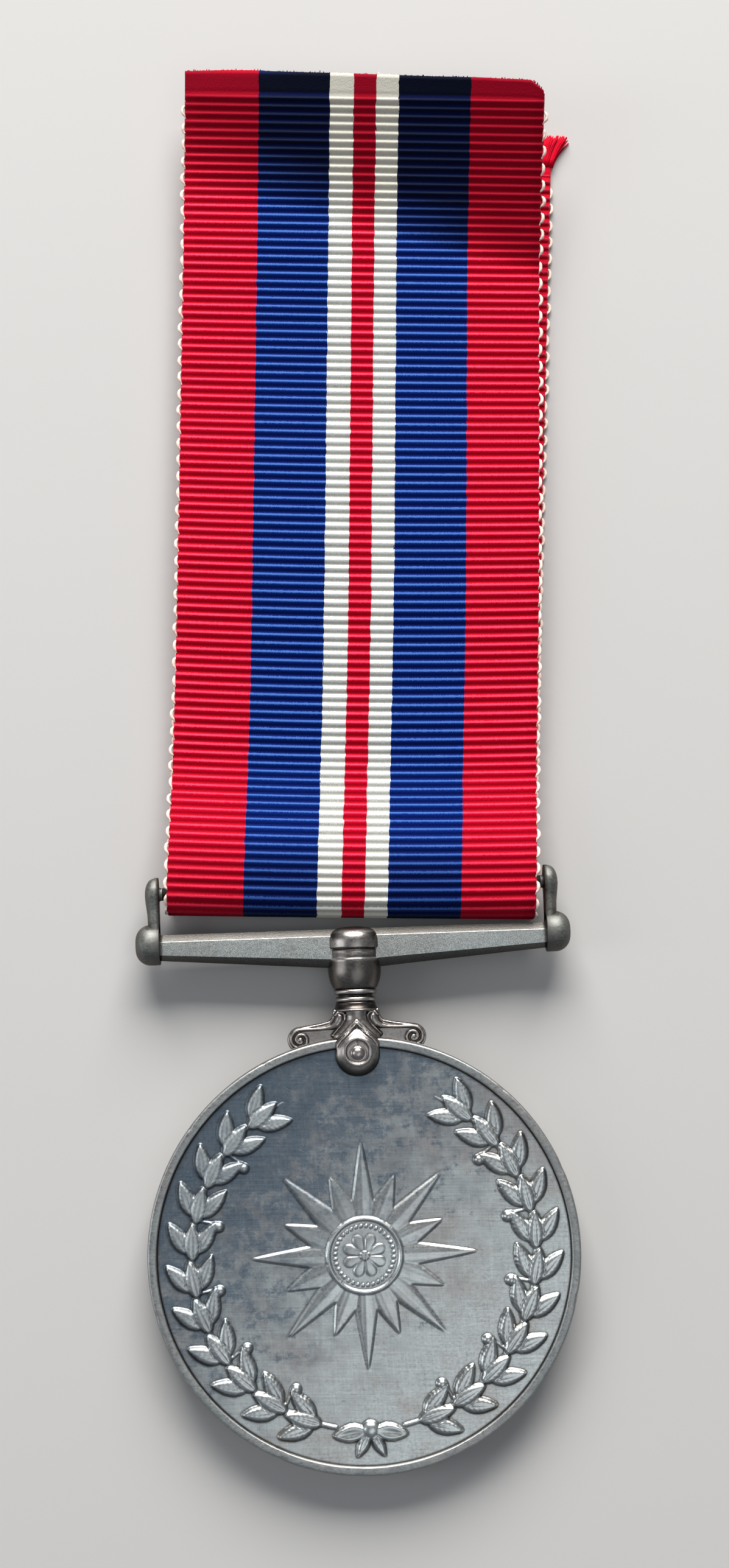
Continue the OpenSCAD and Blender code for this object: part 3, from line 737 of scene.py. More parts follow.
def arm_height(x, y):
    """Height of an arm's front over the middle of the metal."""
    winding, edge, ear = arm_lines()
    top = np.full(x.shape, ARM_Z)
    # the ear's rounded leaf: place of its middle line and its half width there
    leaf = [
        (1.40, 19.78, 0.40), (1.42, 19.5, 0.42), (1.62, 19.18, 0.38), (2.05, 18.97, 0.24), (2.6, 18.86, 0.13)]
    for (ax, ay, a_w), (bx, by, b_w) in zip(leaf, leaf[1:]):
        for share in np.linspace(0, 1, 6):
            width = a_w + (b_w - a_w) * share
            off = np.hypot(x - ax - (bx - ax) * share, y - ay - (by - ay) * share)
            top = np.maximum(top, ARM_Z + (0.12 + 0.75 * width) * bead(off, width))
    for line, height, half_width in ((winding, 0.2, 0.13), (edge, 0.12, 0.1)):
        top = np.maximum(top, ARM_Z + height * bead(line_distance(x, y, line), half_width))
    ear_d = line_distance(x, y, ear)
    top = np.where(ear_d < 0.22, top - 0.12 * bead(ear_d, 0.22), top)
    top = np.maximum(top, ARM_Z + 0.12 + 0.2 * bead(ear_d, 0.11) - 9 * (ear_d > 0.11))
    ball = np.hypot(x - VOLUTE[0], y - VOLUTE[1])
    return np.maximum(top, ARM_Z + 0.26 * bead(ball, 0.24))


def claw_height(x, y):
    """Height of the claw's front: the lobe, the crown above it, the hood's moulding and the pin's seat."""
    lobe_d = np.hypot(x, y - LOBE_Y - 0.25)
    lobe = 1.3 + 0.98 * np.clip(1 - (lobe_d / 2.12) ** 2.6, 0, 1) ** 0.6
    # height up the suspender, half width of the crown, its rise in the middle
    crown = np.array([
        (17.6, 1.98, 0.92), (18.26, 1.98, 0.88), (18.61, 1.65, 0.82), (19.03, 1.24, 0.74),
        (19.45, 0.96, 0.68), (19.81, 0.86, 0.68), (20.15, 0.92, 0.76), (20.5, 1.3, 0.8),
    ]).T
    half, rise = np.interp(y, crown[0], crown[1]), np.interp(y, crown[0], crown[2])
    share = np.clip(x / half, 0, 1)
    crown_top = np.where(share < 1, 1.08 + rise * np.sqrt(1 - share ** 2), 0)
    middle = [(0, 19.13), (0.39, 18.75), (0.87, 18.32), (1.42, 17.85), (1.74, 17.4), (1.83, 16.9)]
    outer = [(0, 19.4), (0.53, 18.97), (0.95, 18.52), (1.58, 17.92), (1.88, 17.5)]
    hood = line_distance(x, y, [(-1, 14), *middle, (2.4, 16.8), (2.4, 14)], closed=True)
    under_hood = np.maximum(lobe, (crown_top - 0.1) * (y > 18))
    top = np.where(hood < 0, under_hood, np.maximum(crown_top, np.where(lobe_d < 2.1, lobe - 0.06, 0)))
    middle_d, outer_d = line_distance(x, y, middle), line_distance(x, y, outer)
    fade = ease((y - 16.9) / 0.8)
    top = top + fade * (0.13 * bead(middle_d, 0.14) + 0.08 * bead(outer_d, 0.12))
    top = top - fade * 0.05 * bead(hood + 0.24, 0.13)
    seat_d = np.hypot(x, y - PIN_Y - 0.12)
    pin_d = np.hypot(x, y - PIN_Y)
    top = top - 0.12 * ease((1.06 - seat_d) / 0.14) + 0.03 * bead(seat_d - 1.12, 0.12)
    return top - 0.04 * bead(pin_d - 0.68, 0.1)


def claw_field(x, y, z):
    """Distance to the claw casting, about, at the points of a grid. x, y and z are its three axes."""
    x2, y2 = np.meshgrid(np.abs(x), y, indexing="ij")
    disc_d = np.hypot(x2, y2)
    lobe_edge = np.hypot(x2, y2 - LOBE_Y) - LOBE_R
    flare = [(-1, 17), (-1, 18.6), (1.4, 18.6), (1.97, 18.1), (1.97, 17.8), (1.86, 17)]
    over_disc = np.minimum(lobe_edge, line_distance(x2, y2, flare, closed=True))
    edge = np.minimum(over_disc, line_distance(x2, y2, arm_plate(), closed=True))
    edge = np.where(disc_d < DISC_R + FIT_GAP, over_disc, edge)
    top = np.maximum(arm_height(x2, y2) * (disc_d > DISC_R - 0.1), claw_height(x2, y2))
    deep = np.abs(z)[None, None, :]
    field = smooth_max(edge[..., None], (deep - top[..., None]) * 0.85, 0.22)
    disc_half = np.where(disc_d > FIELD_R, FACE_Z, FIELD_Z) + FIT_GAP
    disc = np.maximum(disc_d[..., None] - DISC_R - FIT_GAP, deep - disc_half[..., None])
    field = np.maximum(field, -disc)
    hole = PIN_HEAD_R + FIT_GAP - np.hypot(x2, y2 - PIN_Y)
    return np.maximum(field, np.where(deep > PIN_HEAD_Z - 0.1, hole[..., None], -9))


def surface_net(field, axes):
    """Points and quads of the surface where a sampled field is zero, one point to a cell it crosses."""
    shape = tuple(s - 1 for s in field.shape)
    total, number = np.zeros((*shape, 3), np.float32), np.zeros(shape, np.float32)
    crossings = []
    for axis in range(3):
        a = np.take(field, range(field.shape[axis] - 1), axis)
        b = np.take(field, range(1, field.shape[axis]), axis)
        crossed = (a < 0) != (b < 0)
        share = np.where(crossed, a / np.where(crossed, a - b, 1), 0)
        crossings.append((crossed, a < 0))
        others = [k for k in range(3) if k != axis]
        for offset in np.ndindex(2, 2):
            cut = [slice(None)] * 3
            for k, start in zip(others, offset):
                cut[k] = slice(start, shape[k] + start)
            hit = crossed[tuple(cut)]
            number += hit
            total[..., axis] += share[tuple(cut)] * hit
            for k, start in zip(others, offset):
                total[..., k] += start * hit
    active = number > 0
    index = np.full(shape, -1, np.int64)
    index[active] = np.arange(active.sum())
    cells = np.argwhere(active)
    local = total[active] / number[active][:, None]
    steps = np.array([a[1] - a[0] for a in axes])
    points = np.array([a[0] for a in axes]) + (cells + local) * steps
    quads = []
    for axis, (crossed, starts_inside) in enumerate(crossings):
        others = [(axis + 1) % 3, (axis + 2) % 3]
        spots = np.argwhere(crossed)
        for k in others:
            spots = spots[(spots[:, k] > 0) & (spots[:, k] < shape[k])]
        corners = []
        for offset in ((1, 1), (0, 1), (0, 0), (1, 0)):
            cell = spots.copy()
            cell[:, others] -= offset
            corners.append(index[tuple(cell.T)])
        quad = np.stack(corners, axis=1)
        outward = starts_inside[tuple(spots.T)]
        quad[~outward] = quad[~outward][:, ::-1]
        quads.append(quad)
    return points, np.concatenate(quads)


def claw_casting():
    """The front and back claw with the scroll arms, evened out and marked as rubbed, with grime, painted
    shade and a painted shadow.
    """
    axes = [np.arange(low, high, CLAW_STEP) for low, high in CLAW_BOX]
    points, quads = surface_net(claw_field(*axes).astype(np.float32), axes)
    smoothed = points.copy()
    for _ in range(5):
        total, number = np.zeros_like(points), np.zeros(len(points))
        for a in range(4):
            np.add.at(total, quads[:, a], smoothed[quads[:, (a + 1) % 4]])
            np.add.at(number, quads[:, a], 1)
        around = total / np.maximum(number, 1)[:, None]
        smoothed = 0.6 * smoothed + 0.4 * around
    x, y, z = points.T
    # convex places are rubbed; concave ones take grime and painted shade
    convex = (z - around[:, 2]) * np.sign(z) / CLAW_STEP
    wear_and_highlight = np.clip(convex * 5 - 0.3, 0, 0.8)
    grime_and_shade = np.clip(-convex * 6 - 0.1, 0, 0.9)
    # painted shadow round the foot of the lobe, on the disc's side below it
    foot = np.hypot(x, y - LOBE_Y)
    grime_and_shade = np.maximum(grime_and_shade, 0.97 * ease((foot - 1.1) / 0.5) * ease((LOBE_Y + 0.1 - y) / 1.1))
    return laid(smoothed), [quads], {"wear_and_highlight": wear_and_highlight, "grime_and_shade": grime_and_shade}


# The turned stem, the bar and its ends

def stem():
    """Cove, two rings, bulb, band and cap, turned in one profile of (radius, height)."""
    profile = [(1e-3, NECK_Y - 0.6), (1.93, NECK_Y - 0.2)]
    profile += arc((2.1, 20.92), (0.44, 0.62), 250, 178, 8)
    for y, r in ((RING_LOW_Y, RING_LOW_R), (RING_TOP_Y, RING_TOP_R)):
        profile += [(r - RING_H / 2 - 0.08, y)]
        profile += arc((r - RING_H / 2, y + RING_H / 2), RING_H / 2, -80, 80, 8)
        profile += [(r - RING_H / 2 - 0.08, y + RING_H)]
    t = np.linspace(0, 0.93, 22)
    past = t - 0.62
    side = BULB_R * np.where(past > 0, 1 - 0.18 * past ** 2, np.sqrt(1 - (past / 1.05) ** 2))
    profile += [(side[0] - 0.1, BULB_Y - 0.02), *zip(side, BULB_Y + t * BULB_H)]
    profile += arc((BULB_R - 0.13, BULB_Y + BULB_H - 0.06), (0.11, 0.09), 20, 120, 5)
    band = [(0.01, 0), (0, 0.06), (0, 0.38), (-0.02, 0.42), (0, 0.46)]
    profile += [(BAND_R + r, BAND_Y + y) for r, y in band]
    profile += [(BAND_R - 0.01, CAP_Y - 0.06), (BAND_R - 0.07, CAP_Y - 0.01)]
    profile += arc((CAP_R - 0.12, CAP_Y + 0.15), (0.12, 0.14), -90, 0, 5)
    shoulder = np.linspace(0.1, 0.995, 20)
    rise = CAP_H - 0.45
    profile += [(CAP_R * (1 - s ** 2.7) ** (1 / 2.7), CAP_Y + 0.45 + rise * s) for s in shoulder]
    profile += [(1e-3, CAP_Y + CAP_H)]
    profile = np.array(profile)
    points, faces = moved(lathe(profile, STEM_SIDES), along_y(0))
    height = profile[:, 1]
    # grime and painted shade in the grooves, and some on the bulb; rubbing and painted highlights on the
    # ridges
    deep, ridge = np.zeros((2, len(profile)))
    grooves = [(NECK_Y, RING_LOW_Y + 0.04), (21.4, 21.62), (22.03, 22.16), (24.62, 24.76)]
    for low, high in grooves + [(CAP_Y - 0.12, CAP_Y + 0.05)]:
        deep[(height > low) & (height < high)] = 1
    deep = np.maximum(deep, 0.66 * ((height > BULB_Y) & (height < BAND_Y)))
    for y in (RING_LOW_Y + RING_H / 2, RING_TOP_Y + RING_H / 2, BULB_Y + BULB_H - 0.03, CAP_Y + 1.4):
        ridge += bell(height - y, 0.13)
    return laid(points), faces, {"wear_and_highlight": np.repeat(ridge, STEM_SIDES), "grime_and_shade": np.repeat(deep, STEM_SIDES)}


def bar():
    """The bar from post to post: level on top, deepest in the middle, with broad bevels."""
    sections = []
    for x in np.linspace(-POST_X - 0.1, POST_X + 0.1, 81):
        middle = 1 - abs(x) / POST_X
        low = BAR_LOW_END + (BAR_LOW_MID - BAR_LOW_END) * middle
        bevel = BEVEL_LOW_END + (BEVEL_LOW_MID - BEVEL_LOW_END) * middle
        d = BAR_HALF_DEPTH
        ring = rounded([
            (BAR_TOP, -d + BEVEL_Z), (BAR_TOP, d - BEVEL_Z), (BAR_TOP - BEVEL_TOP, d), (-low + bevel, d),
            (-low, d - BEVEL_Z), (-low, -d + BEVEL_Z), (-low + bevel, -d), (BAR_TOP - BEVEL_TOP, -d),
        ], 0.06, 4)
        sections.append(np.stack([np.full(len(ring), x), BAR_Y + ring[:, 0], ring[:, 1]], axis=1))
    points, faces = loft(sections)

    def by_edge(edges, points):
        """A value for each of the section's eight edges, times one for each of an edge's five points."""
        return np.outer(edges, points).ravel()

    # rubbing and painted highlights along the edges, strongest on the upper ones, and painted shade on the
    # upper and lower sides and both bevels up to where they meet the face
    edge_highlight_and_wear = by_edge([0.9, 0.9, 1.3, 0.5, 0.2, 0.2, 0.5, 1.3], [0, 1, 1, 1, 0])
    side_shade = by_edge([1.3, 1.3, 0, 0, 1.3, 1.3, 0, 0], [1, 1, 1, 1, 1])
    side_shade = side_shade + by_edge([0, 0, 0, 1, 0, 0, 1, 0], [0, 0, 0, 0.5, 1])
    side_shade = side_shade + by_edge([0, 0, 1.3, 0, 0, 0, 0, 1.3], [1, 0, 0, 0, 0])
    wear_and_highlight = np.tile(edge_highlight_and_wear, len(sections)) * rng.uniform(0.6, 1.0, len(points))
    return laid(points), faces, {"wear_and_highlight": wear_and_highlight, "grime_and_shade": np.tile(side_shade, len(sections)) * 0.75}


def bar_end():
    """The domed knob, and the post with the rounded head that holds the rod, on the +X side."""
    knob = [(1e-3, 0), (KNOB_R - 0.05, 0), (KNOB_R, 0.05), (KNOB_R, 0.75)]
    knob += arc((KNOB_R - 1.25, KNOB_L - 1.25), 1.25, 4, 90, 16) + [(1e-3, KNOB_L + 0.01)]
    # height, thickness and half width of the post
    post = np.array([
        (27.3, 0.98, 1.12), (28.1, 0.98, 1.12), (28.8, 1.00, 1.12), (29.4, 1.07, 1.14), (29.9, 1.13, 1.25),
        (30.4, 1.17, 1.37), (30.8, 1.15, 1.38), (31.1, 1.10, 1.3), (31.4, 1.00, 1.11), (31.65, 0.86, 0.88),
        (31.85, 0.62, 0.6), (31.95, 0.3, 0.3),
    ]).T
    a = np.linspace(0, np.pi, 15)
    sections = []
    for y in np.linspace(post[0, -1], post[0, 0], 34):
        thick, wide = np.interp(y, post[0], post[1]), np.interp(y, post[0], post[2])
        x = np.concatenate([[0], thick * (0.3 + 0.7 * np.sin(a) ** 0.8), [0]])
        z = np.concatenate([[-wide], -wide * np.cos(a), [wide]])
        sections.append(np.stack([POST_X + x, np.full(len(x), y), z], axis=1))
    fillet = [(1e-3, 0), (ROD_R, 0), *arc((ROD_R + 0.16, 0.0), (0.16, 0.3), 180, 92, 6), (1e-3, 0.3)]
    return joined(
        moved(lathe(knob, 64), along_x(POST_X, BAR_Y)),
        moved(lathe(fillet, 40), along_x(POST_X - 0.3, ROD_Y)),
        loft(sections),
    )


def bar_ends():
    """Both knobs and posts, and the rod between them."""
    right = bar_end()
    left = moved(right, Matrix.Scale(-1, 4, Vector((1, 0, 0))))
    rod = lathe([(1e-3, 0), (ROD_R, 0), (ROD_R, 2 * POST_X), (1e-3, 2 * POST_X)], 40)
    points, faces = joined(right, left, moved(rod, along_x(-POST_X, ROD_Y)))
    out = np.abs(points[:, 0]) - POST_X
    # a painted highlight along the front of each knob's flange; darker at the foot of each post and where the
    # knobs meet the bar
    flange = bell(out - 0.3, 0.3) * (points[:, 1] < 28.1) * (points[:, 2] > 0) * 0.6
    foot = np.clip((28.4 - points[:, 1]) / 0.4, 0, 1) * (points[:, 1] > 27.6) * (out < POST_T)
    inner = (np.abs(out) < 0.05) * 0.7
    return laid(points), faces, {"wear_and_highlight": flange * (out > 0.01), "grime_and_shade": np.maximum(foot * 0.8, inner)}


def pin():
    """The rivet's two domed heads on their shank."""
    flange = PIN_HEAD_Z - 0.05
    half = [(0.45, flange - 0.05), (PIN_HEAD_R - 0.02, flange - 0.04)]
    half += [(PIN_HEAD_R, flange - 0.02), (0.53, flange)]
    half += arc((0, flange), (0.49, PIN_REST - flange), 4, 88, 10)
    points, faces = lathe([(r, -z) for r, z in half[::-1]] + half, 48)
    return laid(points + [0, PIN_Y, 0]), faces, {"wear_and_highlight": np.full(len(points), 0.5)}


# The ribbon

def ribbon_line():
    """The cloth's line from the back layer's end round the rod to the front layer's end.

    Columns: distance along it, distance past the rod, height, drift to +X, and its outward direction.
    """
    step = 0.05
    back_t = np.arange(BACK_L, LOOP_T, -step)
    back_share = (back_t - LOOP_T) / (BACK_L - LOOP_T)
    back = np.stack([back_t, np.full(len(back_t), BACK_Z), BACK_DRIFT * back_share], axis=1)
    a = np.radians(np.linspace(-90, -270, 121))
    turn = np.stack([LOOP_T + LOOP_R * np.cos(a), LOOP_Z + LOOP_R * np.sin(a), np.zeros(121)], axis=1)
    front_t = np.arange(LOOP_T + step, FRONT_L, step)
    share = (front_t - LOOP_T) / (FRONT_L - LOOP_T)
    wave = np.array(WAVE)
    part = np.clip(np.searchsorted(wave[:, 0], share, "right") - 1, 0, len(wave) - 2)
    low, high = wave[part], wave[part + 1]
    step_share = (share - low[:, 0]) / (high[:, 0] - low[:, 0])
    step_share = np.where(part == len(wave) - 2, step_share ** 1.5, ease(step_share))
    height = low[:, 1] + (high[:, 1] - low[:, 1]) * step_share
    front_z = OVER_Z + (LOW_Z - OVER_Z) * ease((front_t - LOOP_T - 2 * ROD_R) / FALL) + WAVE_H * height
    drift = FRONT_DRIFT * np.sin(np.pi / 2 * np.minimum(1, share / DRIFT_SHARE))
    front = np.stack([front_t, front_z, drift], axis=1)
    line = np.concatenate([back, turn, front])
    way = unit(np.gradient(line[:, :2], axis=0))
    out = np.stack([-way[:, 1], way[:, 0]], axis=1)
    line[:, :2] += out * (SOLID_T - CLOTH_T) / 2 - out * RIB_H
    run = np.concatenate([[0], np.cumsum(np.linalg.norm(np.diff(line[:, :2], axis=0), axis=1))])
    return np.column_stack([run, line, out])


LINE = ribbon_line()
CLOTH_L = LINE[-1, 0]


def on_ribbon(run, across, lift):
    """Points of the cloth in metres: distance along it, place across it, height off its middle."""
    run, across, lift = np.broadcast_arrays(run, across, lift)
    t, z, drift, out_t, out_z = [np.interp(run, LINE[:, 0], LINE[:, k]) for k in range(1, 6)]
    past_end = np.maximum(run - CLOTH_L, 0) + np.maximum(-run, 0)
    share = np.clip((t - LOOP_T) / (FRONT_L - LOOP_T), 0, 1) * (run > CLOTH_L / 2)
    curl = np.clip((share - CURL_FROM + CURL_SKEW * across / RIBBON_W) / (1 - CURL_FROM), 0, 1.4)
    raised = CURL_LIFT * curl ** 2 / (0.12 + curl) * (1 + 0.8 * across / RIBBON_W)
    t = t + past_end + lift * out_t - CURL_BACK * raised
    z = z + lift * out_z + raised
    side = across + drift
    points = np.stack([
        side * math.cos(LEAN) + t * math.sin(LEAN),
        ROD_Y * math.cos(TILT) + t * math.cos(LEAN) - side * math.sin(LEAN),
        z,
    ], axis=-1)
    return (points + np.array([PLACE[0], PLACE[1], 0])) * MM


def front_cut(across):
    """Where the front layer is cut off: a little askew, and rounded at its +X corner."""
    corner = np.clip((across - RIBBON_W / 2 + 1.6) / 1.6, 0, 1)
    left = np.clip((-across - RIBBON_W / 2 + 6) / 6, 0, 1)
    return CLOTH_L - CUT_SKEW * across / RIBBON_W - 1.5 * (1 - np.sqrt(1 - corner ** 2)) - 0.25 * left ** 2


def back_cut(across):
    """Where the back layer is cut off, square."""
    return 0.1 + 0 * across


def near_fold(run):
    """A share for how much the ribs bow, 1 where they bow most."""
    return bell(run - BACK_L - 20, 30)


def ribbon_cloth():
    """The woven strip: ribs across it as real ridges on both faces, closed along its edges."""
    ribs = int((CLOTH_L - PLAIN_FRONT - PLAIN_BACK) / RIB_PITCH)
    # a rib's profile: shares of the pitch, and of the height
    phases = np.array([0.0, 0.11, 0.25, 0.39, 0.52, 0.65, 0.79, 0.9])
    crest = np.array([0.12, 0.0, 0.3, 0.68, 0.92, 1.0, 0.82, 0.4])
    jitter = rng.normal(0, 0.012, ribs + 1)
    starts = PLAIN_BACK + (np.arange(ribs + 1) + jitter) * RIB_PITCH
    run = np.append(starts[:-1, None] + np.diff(starts)[:, None] * phases, starts[-1])
    rib = np.append(rng.normal(1, 0.06, ribs)[:, None] * crest, 0)
    rib_at = np.append(np.arange(ribs)[:, None] + phases, ribs)
    inner = np.linspace(-1, 1, 27)[1:-1]
    across = np.concatenate([[-1, -0.992], inner, [0.992, 1]]) * RIBBON_W / 2
    thin = np.ones(len(across))
    thin[[0, -1]] = 0.35
    bow = RIB_BOW * (across / (RIBBON_W / 2)) ** 2
    where = run[:, None] + bow * near_fold(run)[:, None]
    lift = (CLOTH_T / 2 - RIB_H + 2 * RIB_H * rib[:, None]) * thin
    # the plain ends past the last ribs
    rows = 6
    share = np.linspace(0, 1, rows + 1)[1:, None]
    fine = rng.normal(0, 0.012, (2, len(across)))
    plain_lift = (CLOTH_T / 2 - 0.9 * RIB_H * share ** 0.5) * thin
    front = starts[-1] + share * (front_cut(across) + fine[0] - starts[-1])
    back = starts[0] - share[::-1] * (starts[0] - back_cut(across) + fine[1])
    where = np.concatenate([back, where, front])
    lift = np.concatenate([plain_lift[::-1], lift, plain_lift])
    rib_at = np.concatenate([np.full(rows, -0.52), rib_at, np.full(rows, ribs + 0.48)])
    # painted shade, by how far the upper face has turned towards -Y: from 1 to 15 degrees at the loose end,
    # where the light only grazes it, and from 25 degrees on at the fold, with a soft start before it
    rise = unit(np.gradient(on_ribbon(where, across, 0), axis=0))[..., 2]
    turned = np.clip(np.where(where > CLOTH_L - LOOSE_L, 4.3 * rise - 0.08, 1.9 * (rise - 0.42)), 0, 1)
    near = ease((CLOTH_L - FRONT_L - where) / FOLD_SHADE + 1) * ease((where - BACK_L) / 3)
    turned = np.maximum(turned, 0.55 * near)

    def around(over, under):
        """Rows that run across the upper face and back across the lower one."""
        return np.concatenate([over, under[:, ::-1]], axis=1)

    points = around(on_ribbon(where, across, lift), on_ribbon(where, across, -lift))
    rows, n = points.shape[:2]
    c = np.arange(n // 2 - 1)
    cap = np.stack([c, c + 1, n - 2 - c, n - 1 - c], axis=-1)
    faces = [grid_quads(rows, n, flip=True), cap, cap[:, ::-1] + (rows - 1) * n]
    side = np.broadcast_to(across + RIBBON_W / 2, where.shape)
    uv = np.stack([around(side, side), around(where, where)], axis=-1).reshape(-1, 2)
    values = {"rib_at": np.repeat(rib_at, n), "turned": around(turned, turned).ravel()}
    return points.reshape(-1, 3), faces, values, uv, starts


def tubes(paths, radius, sides):
    """Round threads along paths of equally many points, shape (threads, points, 3), in metres."""
    paths = np.asarray(paths, float)
    threads, count = paths.shape[:2]
    way = unit(np.gradient(paths, axis=1))
    helper = np.where(np.abs(way[..., 2:]) > 0.8, [1.0, 0, 0], [0, 0, 1.0])
    first = unit(np.cross(helper, way))
    second = np.cross(way, first)
    a = np.arange(sides) * 2 * np.pi / sides
    radius = np.broadcast_to(np.asarray(radius, float), (threads, count))[..., None, None]
    ring = np.cos(a)[:, None] * first[:, :, None] + np.sin(a)[:, None] * second[:, :, None]
    points = (paths[:, :, None] + ring * radius).reshape(-1, 3)
    base = np.arange(threads)[:, None] * count * sides
    quads = (base[..., None] + grid_quads(count, sides)).reshape(-1, 4)
    ends = base + np.arange(sides)
    return points, [quads, ends[:, ::-1], ends + (count - 1) * sides]


def selvedges(starts):
    """The pale edge threads: one runs along each edge, out over every second rib and back into the cloth."""
    # share of two ribs, reach past the edge as a share, lift in mm, radius in mm
    course = np.array([
        (0.00, 0.10, 0.12, 0.090), (0.05, 0.52, 0.14, 0.110), (0.12, 0.78, 0.15, 0.130),
        (0.21, 0.92, 0.14, 0.145), (0.31, 0.96, 0.12, 0.150), (0.41, 0.92, 0.10, 0.145),
        (0.50, 0.76, 0.07, 0.130), (0.57, 0.48, 0.02, 0.110), (0.63, 0.10, -0.04, 0.090),
        (0.72, -0.15, -0.08, 0.080), (0.84, -0.20, 0.00, 0.080), (0.94, -0.08, 0.08, 0.085),
    ])
    paths, thick = [], []
    first = starts[1:-2:2] + 0.35 * RIB_PITCH
    shape = (len(first), len(course))
    share, past_edge, height, radius = course.T
    for side in (-1, 1):
        from_start = first + rng.normal(0, 0.03, len(first))
        reach = rng.normal(0.235, 0.04, len(first))
        along = from_start[:, None] + (share + rng.normal(0, 0.008, shape)) * 2 * RIB_PITCH
        across = side * (RIBBON_W / 2 - 0.06 + reach[:, None] * past_edge)
        lift = height + rng.normal(0, 0.02, shape)
        paths.append(on_ribbon(along + RIB_BOW * near_fold(along), across, lift).reshape(-1, 3))
        thick.append((radius + rng.normal(0, 0.008, shape)).ravel())
    points, faces = tubes(np.array(paths), np.array(thick) * MM, 6)
    count = len(points)
    return points, faces, {"rib_at": np.full(count, 0.5), "selvedge": np.ones(count)}, np.zeros((count, 2))


def loose_ends(count, cut, inward, reach, across, spread=0.0, layers=1, radius=0.045, turned=0.0):
    """Warp threads that stand a little past a cut, side by side. A thread keeps its stripe's colour.

    reach gives how far threads run past the cut, from random numbers; inward is -1 or 1 along the strip.
    """
    share = np.linspace(0, 1, THREAD_POINTS)
    paths, uv = [], []
    for layer in range(layers):
        place = np.linspace(*across, count) + rng.normal(0, 0.03, count)
        start = cut(place) + inward * 0.25
        run = start[:, None] - inward * (0.25 + reach(count))[:, None] * share
        fan = place[:, None] + spread * (place - across[0] + 0.2)[:, None] * share ** 1.5
        wander = rng.normal(0, 0.04, count)[:, None] * share ** 2
        lift = (layer - (layers - 1) / 2) * 0.14 + rng.normal(0, 0.05, count)[:, None] * share
        paths.append(on_ribbon(run, fan + wander, lift))
        uv.append(np.repeat(place, THREAD_POINTS * THREAD_SIDES))
    points, faces = tubes(np.concatenate(paths), radius * MM, THREAD_SIDES)
    count = len(points)
    values = {"rib_at": np.full(count, 0.48), "turned": np.full(count, turned)}
    uv = np.stack([np.concatenate(uv) + RIBBON_W / 2, np.full(count, 3.0)], axis=1)
    return points, faces, values, uv


# The stage

def stage():
    """The floor, the light and the camera."""
    scene = bpy.context.scene
    scene.view_settings.view_transform = "Standard"
    corners = [(-2, -2, 0), (2, -2, 0), (2, 2, 0), (-2, 2, 0)]
    paint = matt("floor_paint", (0.45, 0.44, 0.43))
    floor_object = mesh_object("floor", corners, [np.arange(4)[None]], paint)
    # just under the piece, so that the two faces never share a plane
    floor_object.location.z = -0.02 * MM

    world = bpy.data.worlds.new("studio")
    world.use_nodes = True
    background = world.node_tree.nodes["Background"]
    background.inputs["Color"].default_value = (0.82, 0.89, 1.0, 1)
    background.inputs["Strength"].default_value = 0.2
    scene.world = world

    # name, place in metres, size, power in watts, colour
    for name, place, size, power, colour in (
        ("key", (0.02, 0.62, 0.37), (0.6, 0.4), 13.5, (1.0, 0.985, 0.96)),
        ("overhead", (0.13, -0.22, 0.62), (0.5, 0.4), 0.6, (0.93, 0.97, 1.0)),
        ("side", (-0.50, -0.02, 0.26), (0.2, 0.4), 0.7, (0.92, 0.96, 1.0)),
    ):
        light = bpy.data.lights.new(name, "AREA")
        light.shape = "RECTANGLE"
        light.size, light.size_y = size
        light.energy = power
        light.color = colour
        made = bpy.data.objects.new(name, light)
        made.location = place
        made.rotation_euler = (-Vector(place)).to_track_quat("-Z", "Y").to_euler()
        scene.collection.objects.link(made)

    camera = bpy.data.cameras.new("camera")
    camera.lens = CAMERA_LENS
    camera.sensor_width = 36
    camera.clip_start = 0.01
    eye = bpy.data.objects.new("camera", camera)
    eye.rotation_mode = "YXZ"
    eye.location = [(c + middle) * MM for c, middle in zip(CAMERA_AT, (PLACE[0], PLACE[1], 0))]
    eye.rotation_euler = Euler(CAMERA_TURN, "YXZ")
    scene.collection.objects.link(eye)
    scene.camera = eye


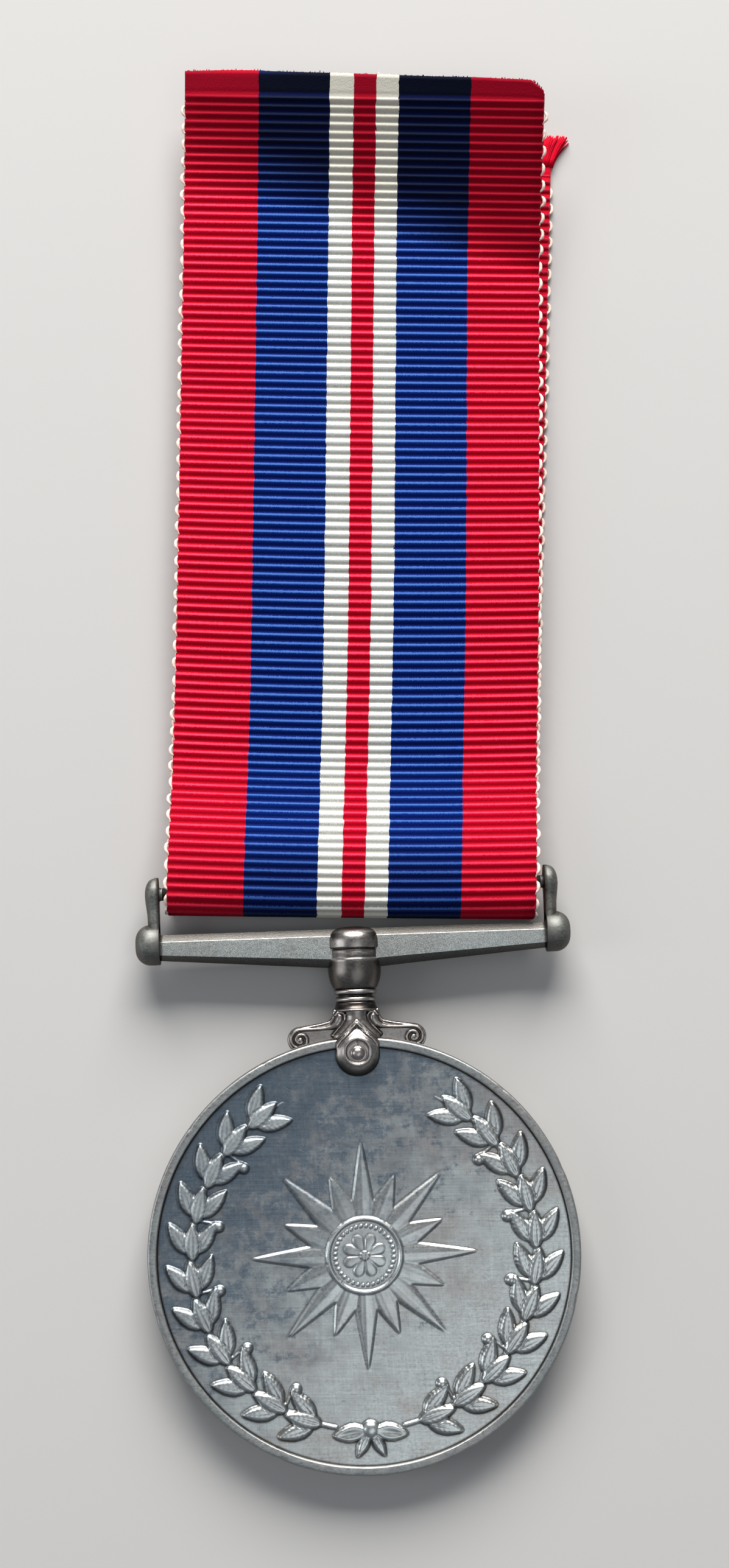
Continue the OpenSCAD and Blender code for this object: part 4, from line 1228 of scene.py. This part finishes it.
def metal_pieces():
    """The disc in three pieces, the suspender in four, and the pin."""
    grey, navy, brown = (0.47, 0.495, 0.485), (0.13, 0.15, 0.175), (0.39, 0.36, 0.34)
    # name; clean, toned and warm colour; roughness, toning, streaks, speckle and painted shade on steep sides
    disc = metal("disc_metal_toned", grey, navy, brown, 0.30, 0.38, 0.15, 0.35, 0.25, drift=0.42)
    rim = metal("rim_metal_worn", (0.36, 0.375, 0.365), (0.15, 0.16, 0.17), brown, 0.4, 0.45, 0.1, 0.7, 0.6)
    cast = metal(
        "claw_metal_warm", (0.40, 0.37, 0.345), (0.20, 0.175, 0.155), brown, 0.28, 0.4, 0.05, 0.4, 0.9)
    frosted = metal(
        "bar_metal_frosted", (0.42, 0.445, 0.43), (0.36, 0.375, 0.36), (0.36, 0.36, 0.34),
        0.4, 0.4, 0.05, 0.15, 0.8, stipple=0.28)
    ends = metal(
        "end_metal_dull", (0.21, 0.215, 0.203), (0.10, 0.102, 0.09), (0.14, 0.13, 0.112),
        0.54, 0.45, 0.1, 0.7, 0.7)
    for name, made, material, cad, slot in (
        ("disc_relief_star", star_field(), disc, "medal_disc", "disc_metal"),
        ("disc_relief_wreath", wreath_field(), disc, "medal_disc", "disc_metal"),
        ("disc_rims_and_back", disc_body(), rim, "medal_disc", "disc_metal"),
        ("claw_and_scrolls", claw_casting(), cast, "suspender", "suspender_metal"),
        ("turned_stem", stem(), cast, "suspender", "suspender_metal"),
        ("ribbon_bar", bar(), frosted, "suspender", "suspender_metal"),
        ("knobs_posts_and_rod", bar_ends(), ends, "suspender", "suspender_metal"),
        ("claw_rivet", pin(), cast, "claw_pin", "pin_metal"),
    ):
        points, faces, values = made
        piece(mesh_object(name, points, faces, material, values), cad)


def ribbon_pieces():
    """The strip, and the fine threads that go with it."""
    silk = cloth()
    *strip, starts = ribbon_cloth()
    half = RIBBON_W / 2
    parts = {
        "ribbon_strip": strip,
        "ribbon_edge_loops": selvedges(starts),
        # the front fray is given painted shade, as the raised loose end is
        "ribbon_front_fray": loose_ends(
            FRONT_THREADS, front_cut, -1, lambda n: rng.gamma(1.5, 0.03, n), (-half, half), turned=0.7),
        "ribbon_back_fray": loose_ends(
            BACK_THREADS, back_cut, 1, lambda n: rng.gamma(2, 0.06, n), (-half, half)),
        "ribbon_tuft": loose_ends(
            TUFT_THREADS, back_cut, 1, lambda n: rng.normal(2.3, 0.12, n), (half - 1.0, half + 0.1),
            1.0, 4, 0.06),
    }
    strip, *made = [
        piece(mesh_object(name, points, faces, silk, values, uv), "ribbon")
        for name, (points, faces, values, uv) in parts.items()]


stage()
metal_pieces()
ribbon_pieces()
